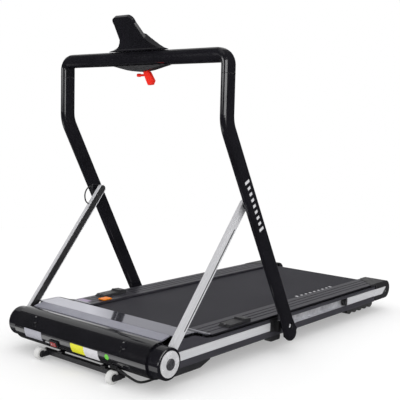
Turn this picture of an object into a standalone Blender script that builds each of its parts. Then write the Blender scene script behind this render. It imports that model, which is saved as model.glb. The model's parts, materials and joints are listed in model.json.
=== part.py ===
"""Folding motorised treadmill with a folding U-shaped handlebar frame.

Lengths are metres and +Z is up.  The motor end is at -Y and the belt's rear end at +Y.
Outlines measure Y from the hinge line of the two struts, which the empty "treadmill" stands on.
"""

import bpy
import bmesh
from math import atan2, cos, hypot, pi, radians, sin
from mathutils import Matrix, Vector

GAP = 0.0003                # clearance kept between two touching pieces

# Folding linkage, seen from the side as (y, z)
HINGE_Y = -0.633            # hinge line, from the middle of the machine
HINGE = (0.0, 0.0823)       # strut foot, at the centre of the end collars
ELBOW = (0.331, 0.491)      # strut head, on the upright
FOOT = (0.5505, 0.0865)     # upright foot, which slides in the side track
FOOT_REACH = 0.0567         # from the foot pin to the upright's round end
BEND = (0.2015, 0.7275)     # where the upright turns vertical
BAR_Z = 0.9198              # height of the crossbar's centre line
BAR_HALF = 0.340            # half the distance between the uprights' centre lines
SEAM_Z = 0.868              # where the handlebar hoop plugs into the uprights

TUBE_WIDE = 0.020           # flat tube of the uprights, across the machine
TUBE_DEEP = 0.053           # flat tube of the uprights, along the machine
TUBE_ROUND = 0.0095         # corner radius of the uprights' tube
TUBE_WALL = 0.002
BAR_TALL = 0.0425           # height of the crossbar, which is as deep as the uprights
BAR_ROUND = 0.020           # corner radius of the crossbar
HOOP_INNER = 0.006          # hoop corners, inside
HOOP_OUTER = 0.047          # hoop corners, outside
BEND_RADIUS = 0.100         # bend in the uprights

STRUT_IN, STRUT_OUT = 0.3045, 0.3165
STRUT_HALF = 0.014          # half the strut's depth
PIN_RADIUS = 0.006

# Front drum, collars and motor bay
DRUM_RADIUS = 0.052
DRUM_HALF = 0.285
COLLAR_RADIUS = 0.0457
COLLAR_OUT = 0.3263
DISC_RADIUS = 0.0372
COVER_TOP = 0.141
COVER_REAR = 0.131
COVER_OUT = 0.3015
SHOULDER_START, SHOULDER_END = 0.122, 0.205

# Side frames, rails and belt
FRAME_IN, FRAME_OUT = 0.264, 0.300
FRAME_LOW, FRAME_HIGH = 0.048, 0.1112
TRACK_LOW, TRACK_HIGH = 0.0687, 0.0960
TRACK_BACK = 0.280
RAIL_IN, RAIL_OUT = 0.2105, 0.303
RAIL_LOW, RAIL_TOP = 0.1122, 0.1186
LEDGE, RECESS = 0.1072, 0.2965     # the groove along the outside, between side frame and rail
ROLLER_Z = 0.0876
ROLLER_RADIUS = 0.021
FRONT_ROLLER_Y, REAR_ROLLER_Y = 0.105, 1.272
BELT_HALF = 0.212
BELT_THICK = 0.0016
PULLEY_IN, PULLEY_OUT = 0.224, 0.238
MOTOR_PULLEY_RADIUS = 0.012
BELT_PULLEY_RADIUS = 0.022
DISPLAY_TILT = radians(39.4)
CONSOLE_BASE = (0.187, BAR_Z + BAR_TALL / 2 + GAP)  # lower edge of the console's back face
CONSOLE_THICK = 0.0105
PLINTH_THICK = 0.0185       # the console's thicker base

WHEEL_X, WHEEL_Y, WHEEL_RADIUS = 0.158, -0.052, 0.019

CORD_RADIUS = 0.0035
COIL_CENTRE = (0.1485, 0.300)
COIL_MEAN = 0.039           # middle radius of the coil's turns


# ---------------------------------------------------------------- shared modelling steps

def clear_scene():
    for item in list(bpy.data.objects):
        bpy.data.objects.remove(item, do_unlink=True)


def paint(name, colour, roughness, metallic=0.0):
    """A Principled material."""
    finish = bpy.data.materials.new(name)
    finish.use_nodes = True
    shader = finish.node_tree.nodes["Principled BSDF"]
    shader.inputs["Base Color"].default_value = (*colour, 1.0)
    shader.inputs["Roughness"].default_value = roughness
    shader.inputs["Metallic"].default_value = metallic
    finish.diffuse_color = (*colour, 1.0)
    return finish


def axis_empty(name, x, y, z, parent=None, parent_at=(0.0, 0.0, 0.0)):
    """An empty on a joint's axis."""
    item = bpy.data.objects.new(name, None)
    bpy.context.collection.objects.link(item)
    item.parent = parent
    item.location = Vector((x, y, z)) - Vector(parent_at)
    return item


def add(name, solid, finish, parent, side=1, at=(0.0, 0.0, 0.0), parent_at=(0.0, 0.0, 0.0), smooth=True):
    """Turns a solid into a named object.  side=-1 mirrors it to the left.  at is its own origin."""
    centre = Vector((side * at[0], at[1], at[2]))
    for vert in solid.verts:
        vert.co.x *= side
        vert.co -= centre
    bmesh.ops.remove_doubles(solid, verts=solid.verts, dist=0.00002)
    bmesh.ops.recalc_face_normals(solid, faces=solid.faces)
    mesh = bpy.data.meshes.new(name)
    solid.to_mesh(mesh)
    solid.free()
    mesh.materials.append(finish)
    item = bpy.data.objects.new(name, mesh)
    bpy.context.collection.objects.link(item)
    item.parent = parent
    item.location = centre - Vector(parent_at)
    if smooth:
        mesh.shade_smooth()
        mesh.set_sharp_from_angle(angle=radians(35.0))
    return item


def prism(outline, axis, start, end):
    """Extrudes an outline along X, Y or Z.  Its points are the two other coordinates, in order."""
    solid = bmesh.new()
    caps = []
    for depth in (start, end):
        ring = []
        for a, b in outline:
            place = {"X": (depth, a, b), "Y": (a, depth, b), "Z": (a, b, depth)}[axis]
            ring.append(solid.verts.new(place))
        caps.append(ring)
        solid.faces.new(ring)
    count = len(outline)
    for i in range(count):
        j = (i + 1) % count
        solid.faces.new((caps[0][i], caps[0][j], caps[1][j], caps[1][i]))
    return solid


def box(low, high):
    corners = [(low[0], low[1]), (high[0], low[1]), (high[0], high[1]), (low[0], high[1])]
    return prism(corners, "Z", low[2], high[2])


def turned(profile, centre, steps=40, start=0.0):
    """Spins (x, radius) points round an X axis through centre (y, z).  Zero radius closes an end."""
    solid = bmesh.new()
    rings = []
    for x, radius in profile:
        if radius == 0.0:
            rings.append([solid.verts.new((x, centre[0], centre[1]))] * steps)
            continue
        ring = []
        for i in range(steps):
            angle = start + 2.0 * pi * i / steps
            ring.append(solid.verts.new((x, centre[0] + radius * cos(angle), centre[1] + radius * sin(angle))))
        rings.append(ring)
    closed = profile[0][1] > 0.0
    last = len(rings) if closed else len(rings) - 1
    for k in range(last):
        one = rings[k]
        two = rings[(k + 1) % len(rings)]
        for i in range(steps):
            j = (i + 1) % steps
            corners = []
            for vert in (one[i], one[j], two[j], two[i]):
                if vert not in corners:
                    corners.append(vert)
            solid.faces.new(corners)
    return solid


def rod(centre, radius, start, end, steps=24):
    return turned([(start, 0.0), (start, radius), (end, radius), (end, 0.0)], centre, steps)


def arc(centre, radius, start, end, steps):
    """Points on an arc, with angles in degrees."""
    points = []
    for i in range(steps + 1):
        angle = radians(start + (end - start) * i / steps)
        points.append((centre[0] + radius * cos(angle), centre[1] + radius * sin(angle)))
    return points


def belt_outline(one, one_radius, two, two_radius, steps=16):
    """The outline of a tight belt round two circles, the second one to the rear."""
    span = hypot(two[0] - one[0], two[1] - one[1])
    tilt = atan2(two[1] - one[1], two[0] - one[0])
    lean = atan2(two_radius - one_radius, span)
    high = (tilt + pi / 2 + lean) * 180.0 / pi
    low = (tilt - pi / 2 - lean) * 180.0 / pi
    front = arc(one, one_radius, high, low + 360.0, steps)
    rear = arc(two, two_radius, low, high, steps)
    return front + rear


def combined(first, second, operation):
    """Joins two solids into one, or cuts the second from the first."""
    items = []
    for solid in (first, second):
        bmesh.ops.remove_doubles(solid, verts=solid.verts, dist=0.000001)
        bmesh.ops.recalc_face_normals(solid, faces=solid.faces)
        mesh = bpy.data.meshes.new("working")
        solid.to_mesh(mesh)
        solid.free()
        item = bpy.data.objects.new("working", mesh)
        bpy.context.collection.objects.link(item)
        items.append(item)
    step = items[0].modifiers.new("shape", "BOOLEAN")
    step.operation = operation
    step.solver = "EXACT"
    step.object = items[1]
    shaped = items[0].evaluated_get(bpy.context.evaluated_depsgraph_get())
    result = bmesh.new()
    result.from_mesh(shaped.to_mesh())
    shaped.to_mesh_clear()
    for item in items:
        mesh = item.data
        bpy.data.objects.remove(item, do_unlink=True)
        bpy.data.meshes.remove(mesh)
    bmesh.ops.dissolve_limit(result, angle_limit=radians(0.2), verts=result.verts, edges=result.edges)
    return result


def joined(first, *others):
    for other in others:
        first = combined(first, other, "UNION")
    return first


def cut(first, *others):
    for other in others:
        first = combined(first, other, "DIFFERENCE")
    return first


def rounded_section(wide, deep, radius, steps=4):
    """A rounded rectangle about its own centre."""
    points = []
    for x, y, start in ((1, 1, 0), (-1, 1, 90), (-1, -1, 180), (1, -1, 270)):
        corner = (x * (wide / 2 - radius), y * (deep / 2 - radius))
        points += arc(corner, radius, start, start + 90, steps)
    return points


def skinned(outer, inner):
    """Closes an outer and an inner list of matching rings of points into one hollow solid."""
    solid = bmesh.new()
    skins = [[[solid.verts.new(point) for point in ring] for ring in rings] for rings in (outer, inner)]
    count = len(outer[0])
    for rings in skins:
        for one, two in zip(rings, rings[1:]):
            for i in range(count):
                j = (i + 1) % count
                solid.faces.new((one[i], one[j], two[j], two[i]))
    for end in (0, -1):
        for i in range(count):
            j = (i + 1) % count
            solid.faces.new((skins[0][end][i], skins[0][end][j], skins[1][end][j], skins[1][end][i]))
    return solid


def hollow_tube(path, across, wide, deep):
    """A tube of rounded section along a flat path.  across is the direction square to the path's plane."""
    across = Vector(across)
    skins = []
    for wall in (0.0, TUBE_WALL):
        section = rounded_section(wide - 2 * wall, deep - 2 * wall, TUBE_ROUND - wall)
        rings = []
        for k, point in enumerate(path):
            before = path[max(k - 1, 0)]
            after = path[min(k + 1, len(path) - 1)]
            sideways = across.cross((after - before).normalized())
            rings.append([point + across * u + sideways * v for u, v in section])
        skins.append(rings)
    return skinned(*skins)


def turned_aside(solid, centre, angle):
    """Rotates a solid round an X axis through centre (y, z)."""
    middle = Vector((0.0, centre[0], centre[1]))
    bmesh.ops.rotate(solid, cent=middle, matrix=Matrix.Rotation(angle, 3, "X"), verts=solid.verts)
    return solid


# ---------------------------------------------------------------- front drum and motor bay

def housing_shell(finish, base):
    wall = 0.003
    outside = arc(HINGE, DRUM_RADIUS, 75, 285, 42)
    inside = arc(HINGE, DRUM_RADIUS - wall, 285, 75, 42)
    skin = prism(outside + inside, "X", -DRUM_HALF + 0.001, DRUM_HALF - 0.001)
    ends = [prism(outside, "X", x, x + wall) for x in (-DRUM_HALF, DRUM_HALF - wall)]
    add("housing_shell", joined(skin, *ends), finish, base)


def strut_sweep():
    """The space that the strut's foot sweeps inside its collar."""
    room = STRUT_HALF + 0.001
    reach = COLLAR_RADIUS + 0.015
    low, high = radians(1.0), radians(51.6)
    outline = arc(HINGE, room, 141.6, 271.0, 16)
    outline.append((reach * cos(low) + room * sin(low), HINGE[1] + reach * sin(low) - room * cos(low)))
    outline.append((reach * 1.3, HINGE[1] + reach * 0.6))
    outline.append((reach * cos(high) - room * sin(high), HINGE[1] + reach * sin(high) + room * cos(high)))
    return prism(outline, "X", STRUT_IN - 0.0006, STRUT_OUT + 0.0006)


def end_collar(finish, base, side, label):
    bevel = 0.003
    inner = DRUM_HALF + GAP
    profile = [(inner, 0.0), (inner, COLLAR_RADIUS), (COLLAR_OUT - bevel, COLLAR_RADIUS),
               (COLLAR_OUT - 0.0009, COLLAR_RADIUS - 0.0009), (COLLAR_OUT, COLLAR_RADIUS - bevel), (COLLAR_OUT, 0.0)]
    collar = cut(turned(profile, HINGE, 40), strut_sweep())
    pin = rod(HINGE, PIN_RADIUS, STRUT_IN - 0.002, STRUT_OUT + 0.002)
    add("end_collar_" + label, joined(collar, pin), finish, base, side)


def end_disc(finish, base, side, label):
    start = COLLAR_OUT + GAP
    profile = [(start, 0.0), (start, DISC_RADIUS), (start + 0.0012, DISC_RADIUS), (start + 0.0022, 0.030),
               (start + 0.0028, 0.0165), (start + 0.0050, 0.0158), (start + 0.0056, 0.0148), (start + 0.0056, 0.0)]
    add("end_disc_" + label, turned(profile, HINGE, 40), finish, base, side)


def cover_strip(finish, base):
    outline = [(0.0175, 0.1292), (0.0540, 0.1380), (0.0540, COVER_TOP), (0.0175, 0.1342)]
    add("cover_strip", prism(outline, "X", -0.2780, 0.2780), finish, base, smooth=False)


def shoulder_height(y):
    """Height of the motor cover over the rails, where it falls in an S from its flat top."""
    fall = min(max((y - SHOULDER_START) / (SHOULDER_END - SHOULDER_START), 0.0), 1.0)
    return COVER_TOP - (COVER_TOP - RAIL_TOP - 0.0021) * fall * fall * (3 - 2 * fall)


def shoulder_line(start, drop, steps=9):
    """Points (y, z) along the cover's shoulder, drop below its top."""
    places = [start] + [SHOULDER_START + (SHOULDER_END - SHOULDER_START) * i / steps for i in range(steps + 1)]
    return [(y, max(shoulder_height(y) - drop, RAIL_TOP + 0.0004)) for y in places]


def motor_cover(finish, base):
    """A flat hood over the motor bay, whose ends run back over the rails, with a thin lip outside."""
    start, low = 0.0550, COVER_TOP - 0.003
    rail = RAIL_TOP + 0.0004
    hood = box((-0.2135, start, low), (0.2135, COVER_REAR, COVER_TOP))
    skirt = box((-0.2135, COVER_REAR - 0.003, 0.1150), (0.2135, COVER_REAR, low + 0.001))
    hood = joined(hood, skirt)
    top = shoulder_line(start, 0.0)
    wedge = top + [(SHOULDER_END, rail), (0.1340, rail), (0.1340, low), (start, low)]
    lip = top + list(reversed(shoulder_line(start, 0.0025)[:-1]))
    for side in (-1, 1):
        for outline, inner, outer in ((wedge, 0.2125, 0.2935), (lip, 0.2930, COVER_OUT)):
            near, far = sorted((side * inner, side * outer))
            hood = joined(hood, prism(outline, "X", near, far))
    add("motor_cover", hood, finish, base)


def belly_pan(finish, base):
    low, high, thick = 0.0290, FRAME_LOW - GAP, 0.003
    floor = prism([(0.0180, low), (0.1600, low), (0.2060, 0.0447), (0.2060, high), (0.1590, low + thick),
                   (0.0180, low + thick)], "X", -0.2990, 0.2990)
    skirts = [prism([(0.0500, low), (0.1600, low), (0.2050, 0.0444), (0.2050, high), (0.0500, high)],
                    "X", x, x + thick) for x in (-0.2998, 0.2968)]
    add("belly_pan", joined(floor, *skirts), finish, base, smooth=False)


def drive_motor(finish, base):
    profile = [(-0.100, 0.0), (-0.100, 0.030), (-0.096, 0.036), (0.126, 0.036), (0.130, 0.030), (0.136, 0.014),
               (0.140, 0.012), (0.140, 0.0)]
    add("drive_motor", turned(profile, HINGE, 24), finish, base)


def motor_pulley(finish, base):
    start = 0.140 + GAP
    profile = [(start, 0.0), (start, 0.005), (PULLEY_IN, 0.005), (PULLEY_IN, MOTOR_PULLEY_RADIUS),
               (PULLEY_OUT, MOTOR_PULLEY_RADIUS), (PULLEY_OUT, 0.0)]
    at = (0.0, HINGE[0], HINGE[1])
    add("motor_pulley", turned(profile, HINGE, 24), finish, base, at=at)


def drive_belt(finish, base):
    roller = (FRONT_ROLLER_Y, ROLLER_Z)
    outer = belt_outline(HINGE, MOTOR_PULLEY_RADIUS + 0.0023, roller, BELT_PULLEY_RADIUS + 0.0023)
    inner = belt_outline(HINGE, MOTOR_PULLEY_RADIUS + GAP, roller, BELT_PULLEY_RADIUS + GAP)
    loop = cut(prism(outer, "X", PULLEY_IN + 0.002, PULLEY_OUT - 0.002), prism(inner, "X", PULLEY_IN, PULLEY_OUT))
    add("drive_belt", loop, finish, base)


def controller_box(finish, base):
    add("controller_box", box((-0.240, -0.030, 0.050), (-0.125, 0.066, 0.098)), finish, base, smooth=False)


# ---------------------------------------------------------------- chassis

def side_frame(finish, base, side, label):
    """An extruded side member with the open track that the upright's foot slides in.

    Its front end has a cheek that follows the motor cover's edge a little below it.
    """
    skin = [(FRAME_IN, FRAME_LOW), (FRAME_OUT, FRAME_LOW), (FRAME_OUT, TRACK_LOW), (TRACK_BACK, TRACK_LOW),
            (TRACK_BACK, TRACK_HIGH), (FRAME_OUT, TRACK_HIGH), (FRAME_OUT, LEDGE), (RECESS, LEDGE),
            (RECESS, FRAME_HIGH), (FRAME_IN, FRAME_HIGH)]
    start, end = 0.0465, 1.2200
    chamber = box((FRAME_IN + 0.003, start - 0.01, FRAME_LOW + 0.003),
                  (TRACK_BACK - 0.003, end + 0.01, FRAME_HIGH - 0.003))
    foot = LEDGE - 0.003
    line = [(y, shoulder_height(y) - 0.0112) for y, z in shoulder_line(0.0560, 0.0)]
    cheek = prism([(0.0560, foot)] + line + [(0.2170, LEDGE), (0.2170, foot)], "X", RECESS + GAP, FRAME_OUT)
    wall = box((0.2937, 0.0560, FRAME_HIGH - 0.003), (RECESS - GAP, 0.1325, COVER_TOP - 0.0050))
    body = cut(prism(skin, "Y", start, end), chamber)
    add("side_frame_" + label, joined(body, cheek, wall), finish, base, side, smooth=False)


def foot_rail(finish, base, side, label):
    """A foot rail with four raised ribs and an overhanging lip.  Both ends are cut on the skew."""
    outline = [(RAIL_IN, RAIL_LOW), (RAIL_IN, RAIL_TOP - 0.0012), (RAIL_IN + 0.0012, RAIL_TOP)]
    ribs, groove = 4, 0.0050
    pitch = (RAIL_OUT - RAIL_IN - 0.010) / ribs
    for i in range(1, ribs):
        middle = RAIL_IN + 0.005 + pitch * i
        outline += [(middle - groove / 2, RAIL_TOP), (middle - groove / 4, RAIL_TOP - 0.0022),
                    (middle + groove / 4, RAIL_TOP - 0.0022), (middle + groove / 2, RAIL_TOP)]
    outline += [(RAIL_OUT - 0.001, RAIL_TOP), (RAIL_OUT, RAIL_TOP - 0.001), (RAIL_OUT, 0.1162),
                (RECESS, 0.1162), (RECESS, RAIL_LOW)]
    rail = prism(outline, "Y", 0.1330, 1.2750)
    slope = 0.9
    reach = RAIL_OUT + 0.02 - RAIL_IN + 0.02
    rear = prism([(RAIL_IN - 0.02, 1.2610 + 0.02 * slope), (RAIL_OUT + 0.02, 1.2610 + (0.02 - reach) * slope),
                  (RAIL_OUT + 0.02, 1.32), (RAIL_IN - 0.02, 1.32)], "Z", 0.10, 0.13)
    cheek_room = box((RECESS, 0.10, 0.10), (RAIL_OUT + 0.01, SHOULDER_END + 0.0010, 0.13))
    add("foot_rail_" + label, cut(rail, rear, cheek_room), finish, base, side, smooth=False)


def rear_end_cap(finish, base, side, label):
    """A D-shaped end cap, cut on the skew to meet the rail, with a shallow bed for the trim."""
    radius = 0.0345
    centre = (1.3025, 0.0850)
    outline = arc(centre, radius, -90, 90, 20) + [(1.1400, 0.1195), (1.1400, 0.0505)]
    cap = prism(outline, "X", RAIL_IN, 0.3035)
    slope = 0.9
    front = prism([(RAIL_IN - 0.02, 1.2614 + 0.02 * slope), (RAIL_IN - 0.02, 1.10), (RAIL_OUT + 0.02, 1.10),
                   (RAIL_OUT + 0.02, 1.2614 - (RAIL_OUT + 0.02 - RAIL_IN) * slope)], "Z", 0.1114, 0.13)
    body = box((RAIL_IN - 0.01, 1.10, 0.040), (RAIL_OUT + 0.01, 1.2203, FRAME_HIGH + GAP))
    cup = box((RAIL_IN - 0.01, 1.2203, 0.0530), (RAIL_IN + 0.006, 1.3050, 0.1160))
    bed = prism(trim_end(1.2000, 0.0), "X", TRIM_BED - GAP, RAIL_OUT + 0.01)
    add("rear_end_cap_" + label, cut(cap, front, body, cup, bed), finish, base, side)


TRIM_BED = 0.3005


def trim_end(start, inset):
    """The trim's skewed rear end, seen from the side."""
    low, high = TRACK_LOW + inset, TRACK_HIGH - inset
    return [(start, low), (1.2780 - inset, low), (1.3060 - 2 * inset, high - 0.003), (1.3040 - 2 * inset, high),
            (start, high)]


def trim_bar(start, end):
    low, high = TRACK_LOW + GAP, TRACK_HIGH - GAP
    outline = [(0.2900, low), (0.3010, low), (0.3020, low + 0.001), (0.3020, high - 0.001), (0.3010, high),
               (0.2900, high)]
    return prism(outline, "Y", start, end)


def front_trim(finish, base, side, label):
    add("front_trim_" + label, trim_bar(0.0470, 0.5320), finish, base, side, smooth=False)


def rear_trim(finish, base, side, label):
    """The rear trim runs on over the end cap as a thin plate."""
    plate = prism(trim_end(1.2100, GAP), "X", TRIM_BED, 0.3032)
    add("rear_trim_" + label, joined(trim_bar(1.0030, 1.2200), plate), finish, base, side, smooth=False)


def cross_member(finish, base, name, start):
    high = ROLLER_Z + 0.0026
    low = ROLLER_Z - ROLLER_RADIUS + 0.0008
    half = FRAME_IN - GAP
    tube = box((-half, start, low), (half, start + 0.040, high))
    bore = box((-half - 0.01, start + 0.003, low + 0.003), (half + 0.01, start + 0.037, high - 0.003))
    add(name, cut(tube, bore), finish, base, smooth=False)


def deck_board(finish, base):
    low = ROLLER_Z + 0.0029
    high = ROLLER_Z + ROLLER_RADIUS - 0.0002
    add("deck_board", box((-0.205, 0.135, low), (0.205, 1.240, high)), finish, base, smooth=False)


def running_belt(finish, base):
    front, rear = (FRONT_ROLLER_Y, ROLLER_Z), (REAR_ROLLER_Y, ROLLER_Z)
    near = ROLLER_RADIUS + GAP
    outer = belt_outline(front, near + BELT_THICK, rear, near + BELT_THICK)
    inner = belt_outline(front, near, rear, near)
    loop = cut(prism(outer, "X", -BELT_HALF + 0.003, BELT_HALF - 0.003), prism(inner, "X", -0.3, 0.3))
    add("running_belt", loop, finish, base)


def front_roller(finish, base):
    half, reach = 0.2085, FRAME_IN - GAP
    profile = [(-reach, 0.0), (-reach, 0.006), (-half - 0.004, 0.006), (-half - 0.004, 0.018),
               (-half, ROLLER_RADIUS), (half, ROLLER_RADIUS), (half + 0.004, 0.018), (PULLEY_IN, 0.018),
               (PULLEY_IN, BELT_PULLEY_RADIUS), (PULLEY_OUT, BELT_PULLEY_RADIUS), (PULLEY_OUT, 0.006),
               (reach, 0.006), (reach, 0.0)]
    at = (0.0, FRONT_ROLLER_Y, ROLLER_Z)
    add("front_roller", turned(profile, at[1:], 28), finish, base, at=at)


def rear_roller(finish, base):
    half, reach = 0.1995, 0.2165 - GAP
    profile = [(-reach, 0.0), (-reach, 0.006), (-half - 0.004, 0.006), (-half - 0.004, 0.018),
               (-half, ROLLER_RADIUS), (half, ROLLER_RADIUS), (half + 0.004, 0.018), (half + 0.004, 0.006),
               (reach, 0.006), (reach, 0.0)]
    at = (0.0, REAR_ROLLER_Y, ROLLER_Z)
    add("rear_roller", turned(profile, at[1:], 28), finish, base, at=at)


def rear_foot_beam(finish, base):
    half = FRAME_IN - GAP
    add("rear_foot_beam", box((-half, 1.1200, FRAME_LOW + GAP), (half, 1.2180, 0.0590)), finish, base, smooth=False)


def rear_foot(finish, base, side, label):
    """A rubber foot with five round lobes on the floor."""
    lobes, pitch, radius = 5, 0.041, 0.025
    start, top = 1.1180, FRAME_LOW
    outline = [(start + lobes * pitch, top), (start, top)]
    spread = atan2(pitch / 2, (radius * radius - pitch * pitch / 4) ** 0.5) * 180.0 / pi
    for i in range(lobes):
        lobe = arc((start + pitch * (i + 0.5), radius), radius, 270 - spread, 270 + spread, 8)
        outline += lobe if i == 0 else lobe[1:]
    add("rear_foot_" + label, prism(outline, "X", 0.176, 0.238), finish, base, side)


def fold_lock(finish, base, side, label):
    """The block in front of the upright's foot that stops it when the frame stands up."""
    plate = box((0.3023, 0.5045, 0.0650), (0.3040, 0.5420, 0.1060))
    block = box((0.3035, 0.5260, 0.0650), (0.3195, 0.5400, 0.0985))
    add("fold_lock_" + label, joined(plate, block), finish, base, side, smooth=False)


def frame_rest(finish, base, side, label):
    """A low block on the foot rail, with a raised catch at its rear."""
    start, end = 0.2920, 0.4050
    low, high = RAIL_TOP + GAP, 0.1300
    outline = [(start, low), (end, low), (end, high), (end - 0.030, high + 0.002), (end - 0.036, high - 0.003),
               (start + 0.012, high - 0.004)]
    add("frame_rest_" + label, prism(outline, "X", 0.2560, 0.2960), finish, base, side, smooth=False)


# ---------------------------------------------------------------- wheels, switch and mains lead

def wheel_axle_bar(finish, base):
    bar = box((-0.1735, -0.0310, 0.0125), (0.1735, -0.0150, 0.0270))
    parts = []
    for side in (-1, 1):
        for x in (0.1425, 0.1705):
            low, high = sorted((side * x, side * (x + 0.003)))
            parts.append(box((low, -0.0600, 0.0110), (high, -0.0290, 0.0270)))
        low, high = sorted((side * 0.1435, side * 0.1725))
        parts.append(rod((WHEEL_Y, WHEEL_RADIUS), 0.003, low, high, 16))
        low, high = sorted((side * 0.085, side * 0.105))
        parts.append(box((low, -0.0300, 0.0260), (high, -0.0160, 0.0325)))
    add("wheel_axle_bar", joined(bar, *parts), finish, base, smooth=False)


def transport_wheel(finish, base, side, label):
    half = 0.010
    profile = [(WHEEL_X - half, 0.0034), (WHEEL_X - half, 0.0170), (WHEEL_X - half + 0.002, WHEEL_RADIUS),
               (WHEEL_X + half - 0.002, WHEEL_RADIUS), (WHEEL_X + half, 0.0170), (WHEEL_X + half, 0.0034)]
    centre = (WHEEL_Y, WHEEL_RADIUS)
    at = (WHEEL_X, *centre)
    add("transport_wheel_" + label, turned(profile, centre, 28), finish, base, side, at=at)


SWITCH_X, SWITCH_TILT = -0.096, radians(203.6)


def on_drum(x_low, x_high, near, far, half):
    """A block standing on the drum, built at its rear and turned round to the switch."""
    block = box((x_low, HINGE[0] + near, HINGE[1] - half), (x_high, HINGE[0] + far, HINGE[1] + half))
    return turned_aside(block, HINGE, SWITCH_TILT)


def power_switch(finish, base):
    block = on_drum(SWITCH_X - 0.018, SWITCH_X + 0.018, DRUM_RADIUS + GAP, 0.0575, 0.0110)
    window = on_drum(SWITCH_X - 0.0125, SWITCH_X + 0.0125, DRUM_RADIUS - 0.01, 0.0600, 0.0078)
    add("power_switch", cut(block, window), finish, base, smooth=False)


def switch_rocker(finish, base):
    axis = 0.0558
    at = (SWITCH_X, HINGE[0] + axis * cos(SWITCH_TILT), HINGE[1] + axis * sin(SWITCH_TILT))
    rocker = on_drum(SWITCH_X - 0.0120, SWITCH_X + 0.0120, 0.0535, 0.0590, 0.0066)
    turned_aside(rocker, at[1:], radians(-7.0))
    add("switch_rocker", rocker, finish, base, at=at, smooth=False)


GLAND_START = Vector((0.1695, -0.0408, 0.0411))
GLAND_END = Vector((0.1895, -0.0290, 0.0275))


def power_inlet(finish, base):
    """The block that the mains lead comes out of, with its tapered strain relief."""
    block = box((0.1440, 0.0525, HINGE[1] - 0.0080), (0.1690, 0.0610, HINGE[1] + 0.0080))
    turned_aside(block, HINGE, radians(225.0))
    length = (GLAND_END - GLAND_START).length
    relief = turned([(-0.004, 0.0), (-0.004, 0.0054), (0.004, 0.0054), (length, 0.0042), (length, 0.0)], (0, 0), 16)
    ahead = (GLAND_END - GLAND_START).normalized()
    aim = Vector((1.0, 0.0, 0.0)).rotation_difference(ahead).to_matrix()
    bmesh.ops.rotate(relief, cent=(0, 0, 0), matrix=aim, verts=relief.verts)
    bmesh.ops.translate(relief, vec=GLAND_START, verts=relief.verts)
    add("power_inlet", joined(block, relief), finish, base)


CORD_ROUTE = [(0.1895, -0.0290, 0.0275), (0.1985, -0.0230, 0.0212), (0.2080, -0.0145, 0.0132),
              (0.2150, -0.0030, 0.0067), (0.2190, 0.0120, 0.0041), (0.2208, 0.0320, 0.0036),
              (0.2205, 0.0550, 0.0036), (0.2165, 0.0900, 0.0036), (0.2095, 0.1300, 0.0036),
              (0.2015, 0.1700, 0.0036), (0.1960, 0.2100, 0.0036), (0.1945, 0.2450, 0.0036),
              (0.1945, 0.2735, 0.0036)]


def smooth_route(points, steps):
    """A Catmull-Rom curve through the points."""
    route = [Vector(point) for point in points]
    ends = [2 * route[0] - route[1]] + route + [2 * route[-1] - route[-2]]
    curve = []
    for k in range(1, len(ends) - 2):
        a, b, c, d = ends[k - 1:k + 3]
        for i in range(steps):
            t = i / steps
            curve.append(0.5 * (2 * b + (c - a) * t + (2 * a - 5 * b + 4 * c - d) * t * t
                                + (3 * b - a - 3 * c + d) * t ** 3))
    curve.append(route[-1])
    return curve


def tube_along(name, route, radius, finish, parent, resolution, at=(0.0, 0.0, 0.0), parent_at=(0.0, 0.0, 0.0)):
    curve = bpy.data.curves.new(name, "CURVE")
    curve.dimensions = "3D"
    curve.bevel_depth = radius
    curve.bevel_resolution = resolution
    curve.use_fill_caps = True
    line = curve.splines.new("POLY")
    line.points.add(len(route) - 1)
    for point, place in zip(line.points, route):
        point.co = (*(place - Vector(at)), 1.0)
    curve.materials.append(finish)
    item = bpy.data.objects.new(name, curve)
    bpy.context.collection.objects.link(item)
    item.parent = parent
    item.location = Vector(at) - Vector(parent_at)


def mains_lead(finish, plug_finish, base):
    ahead = (GLAND_END - GLAND_START).normalized()
    route = smooth_route(CORD_ROUTE, 2)
    route[0] = route[0] + ahead * GAP
    tube_along("mains_cord", route, CORD_RADIUS, finish, base, 2)
    inner, outer, high = COIL_MEAN - 3 * CORD_RADIUS, COIL_MEAN + 3 * CORD_RADIUS, 4 * CORD_RADIUS + 0.0005
    ring = turned([(0.0, inner), (0.0, outer), (high, outer), (high, inner)], (0.0, 0.0), 32)
    bmesh.ops.rotate(ring, cent=(0, 0, 0), matrix=Matrix.Rotation(-pi / 2, 3, "Y"), verts=ring.verts)
    bmesh.ops.translate(ring, vec=(*COIL_CENTRE, 0.0), verts=ring.verts)
    add("mains_coil", ring, finish, base)
    plug = box((-0.018, 0.0, 0.0), (0.018, 0.036, 0.026))
    neck = prism([(-0.0055, 0.0060), (0.0055, 0.0060), (0.0055, 0.0170), (-0.0055, 0.0170)], "Y", -0.018, 0.002)
    body = joined(plug, neck)
    bmesh.ops.rotate(body, cent=(0, 0, 0), matrix=Matrix.Rotation(pi, 3, "Z"), verts=body.verts)
    left = COIL_CENTRE[0] - COIL_MEAN - 2 * CORD_RADIUS
    bmesh.ops.translate(body, vec=(left, COIL_CENTRE[1] - 0.0480, 0.0), verts=body.verts)
    add("mains_plug", body, plug_finish, base, smooth=False)


# ---------------------------------------------------------------- folding frame

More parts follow.
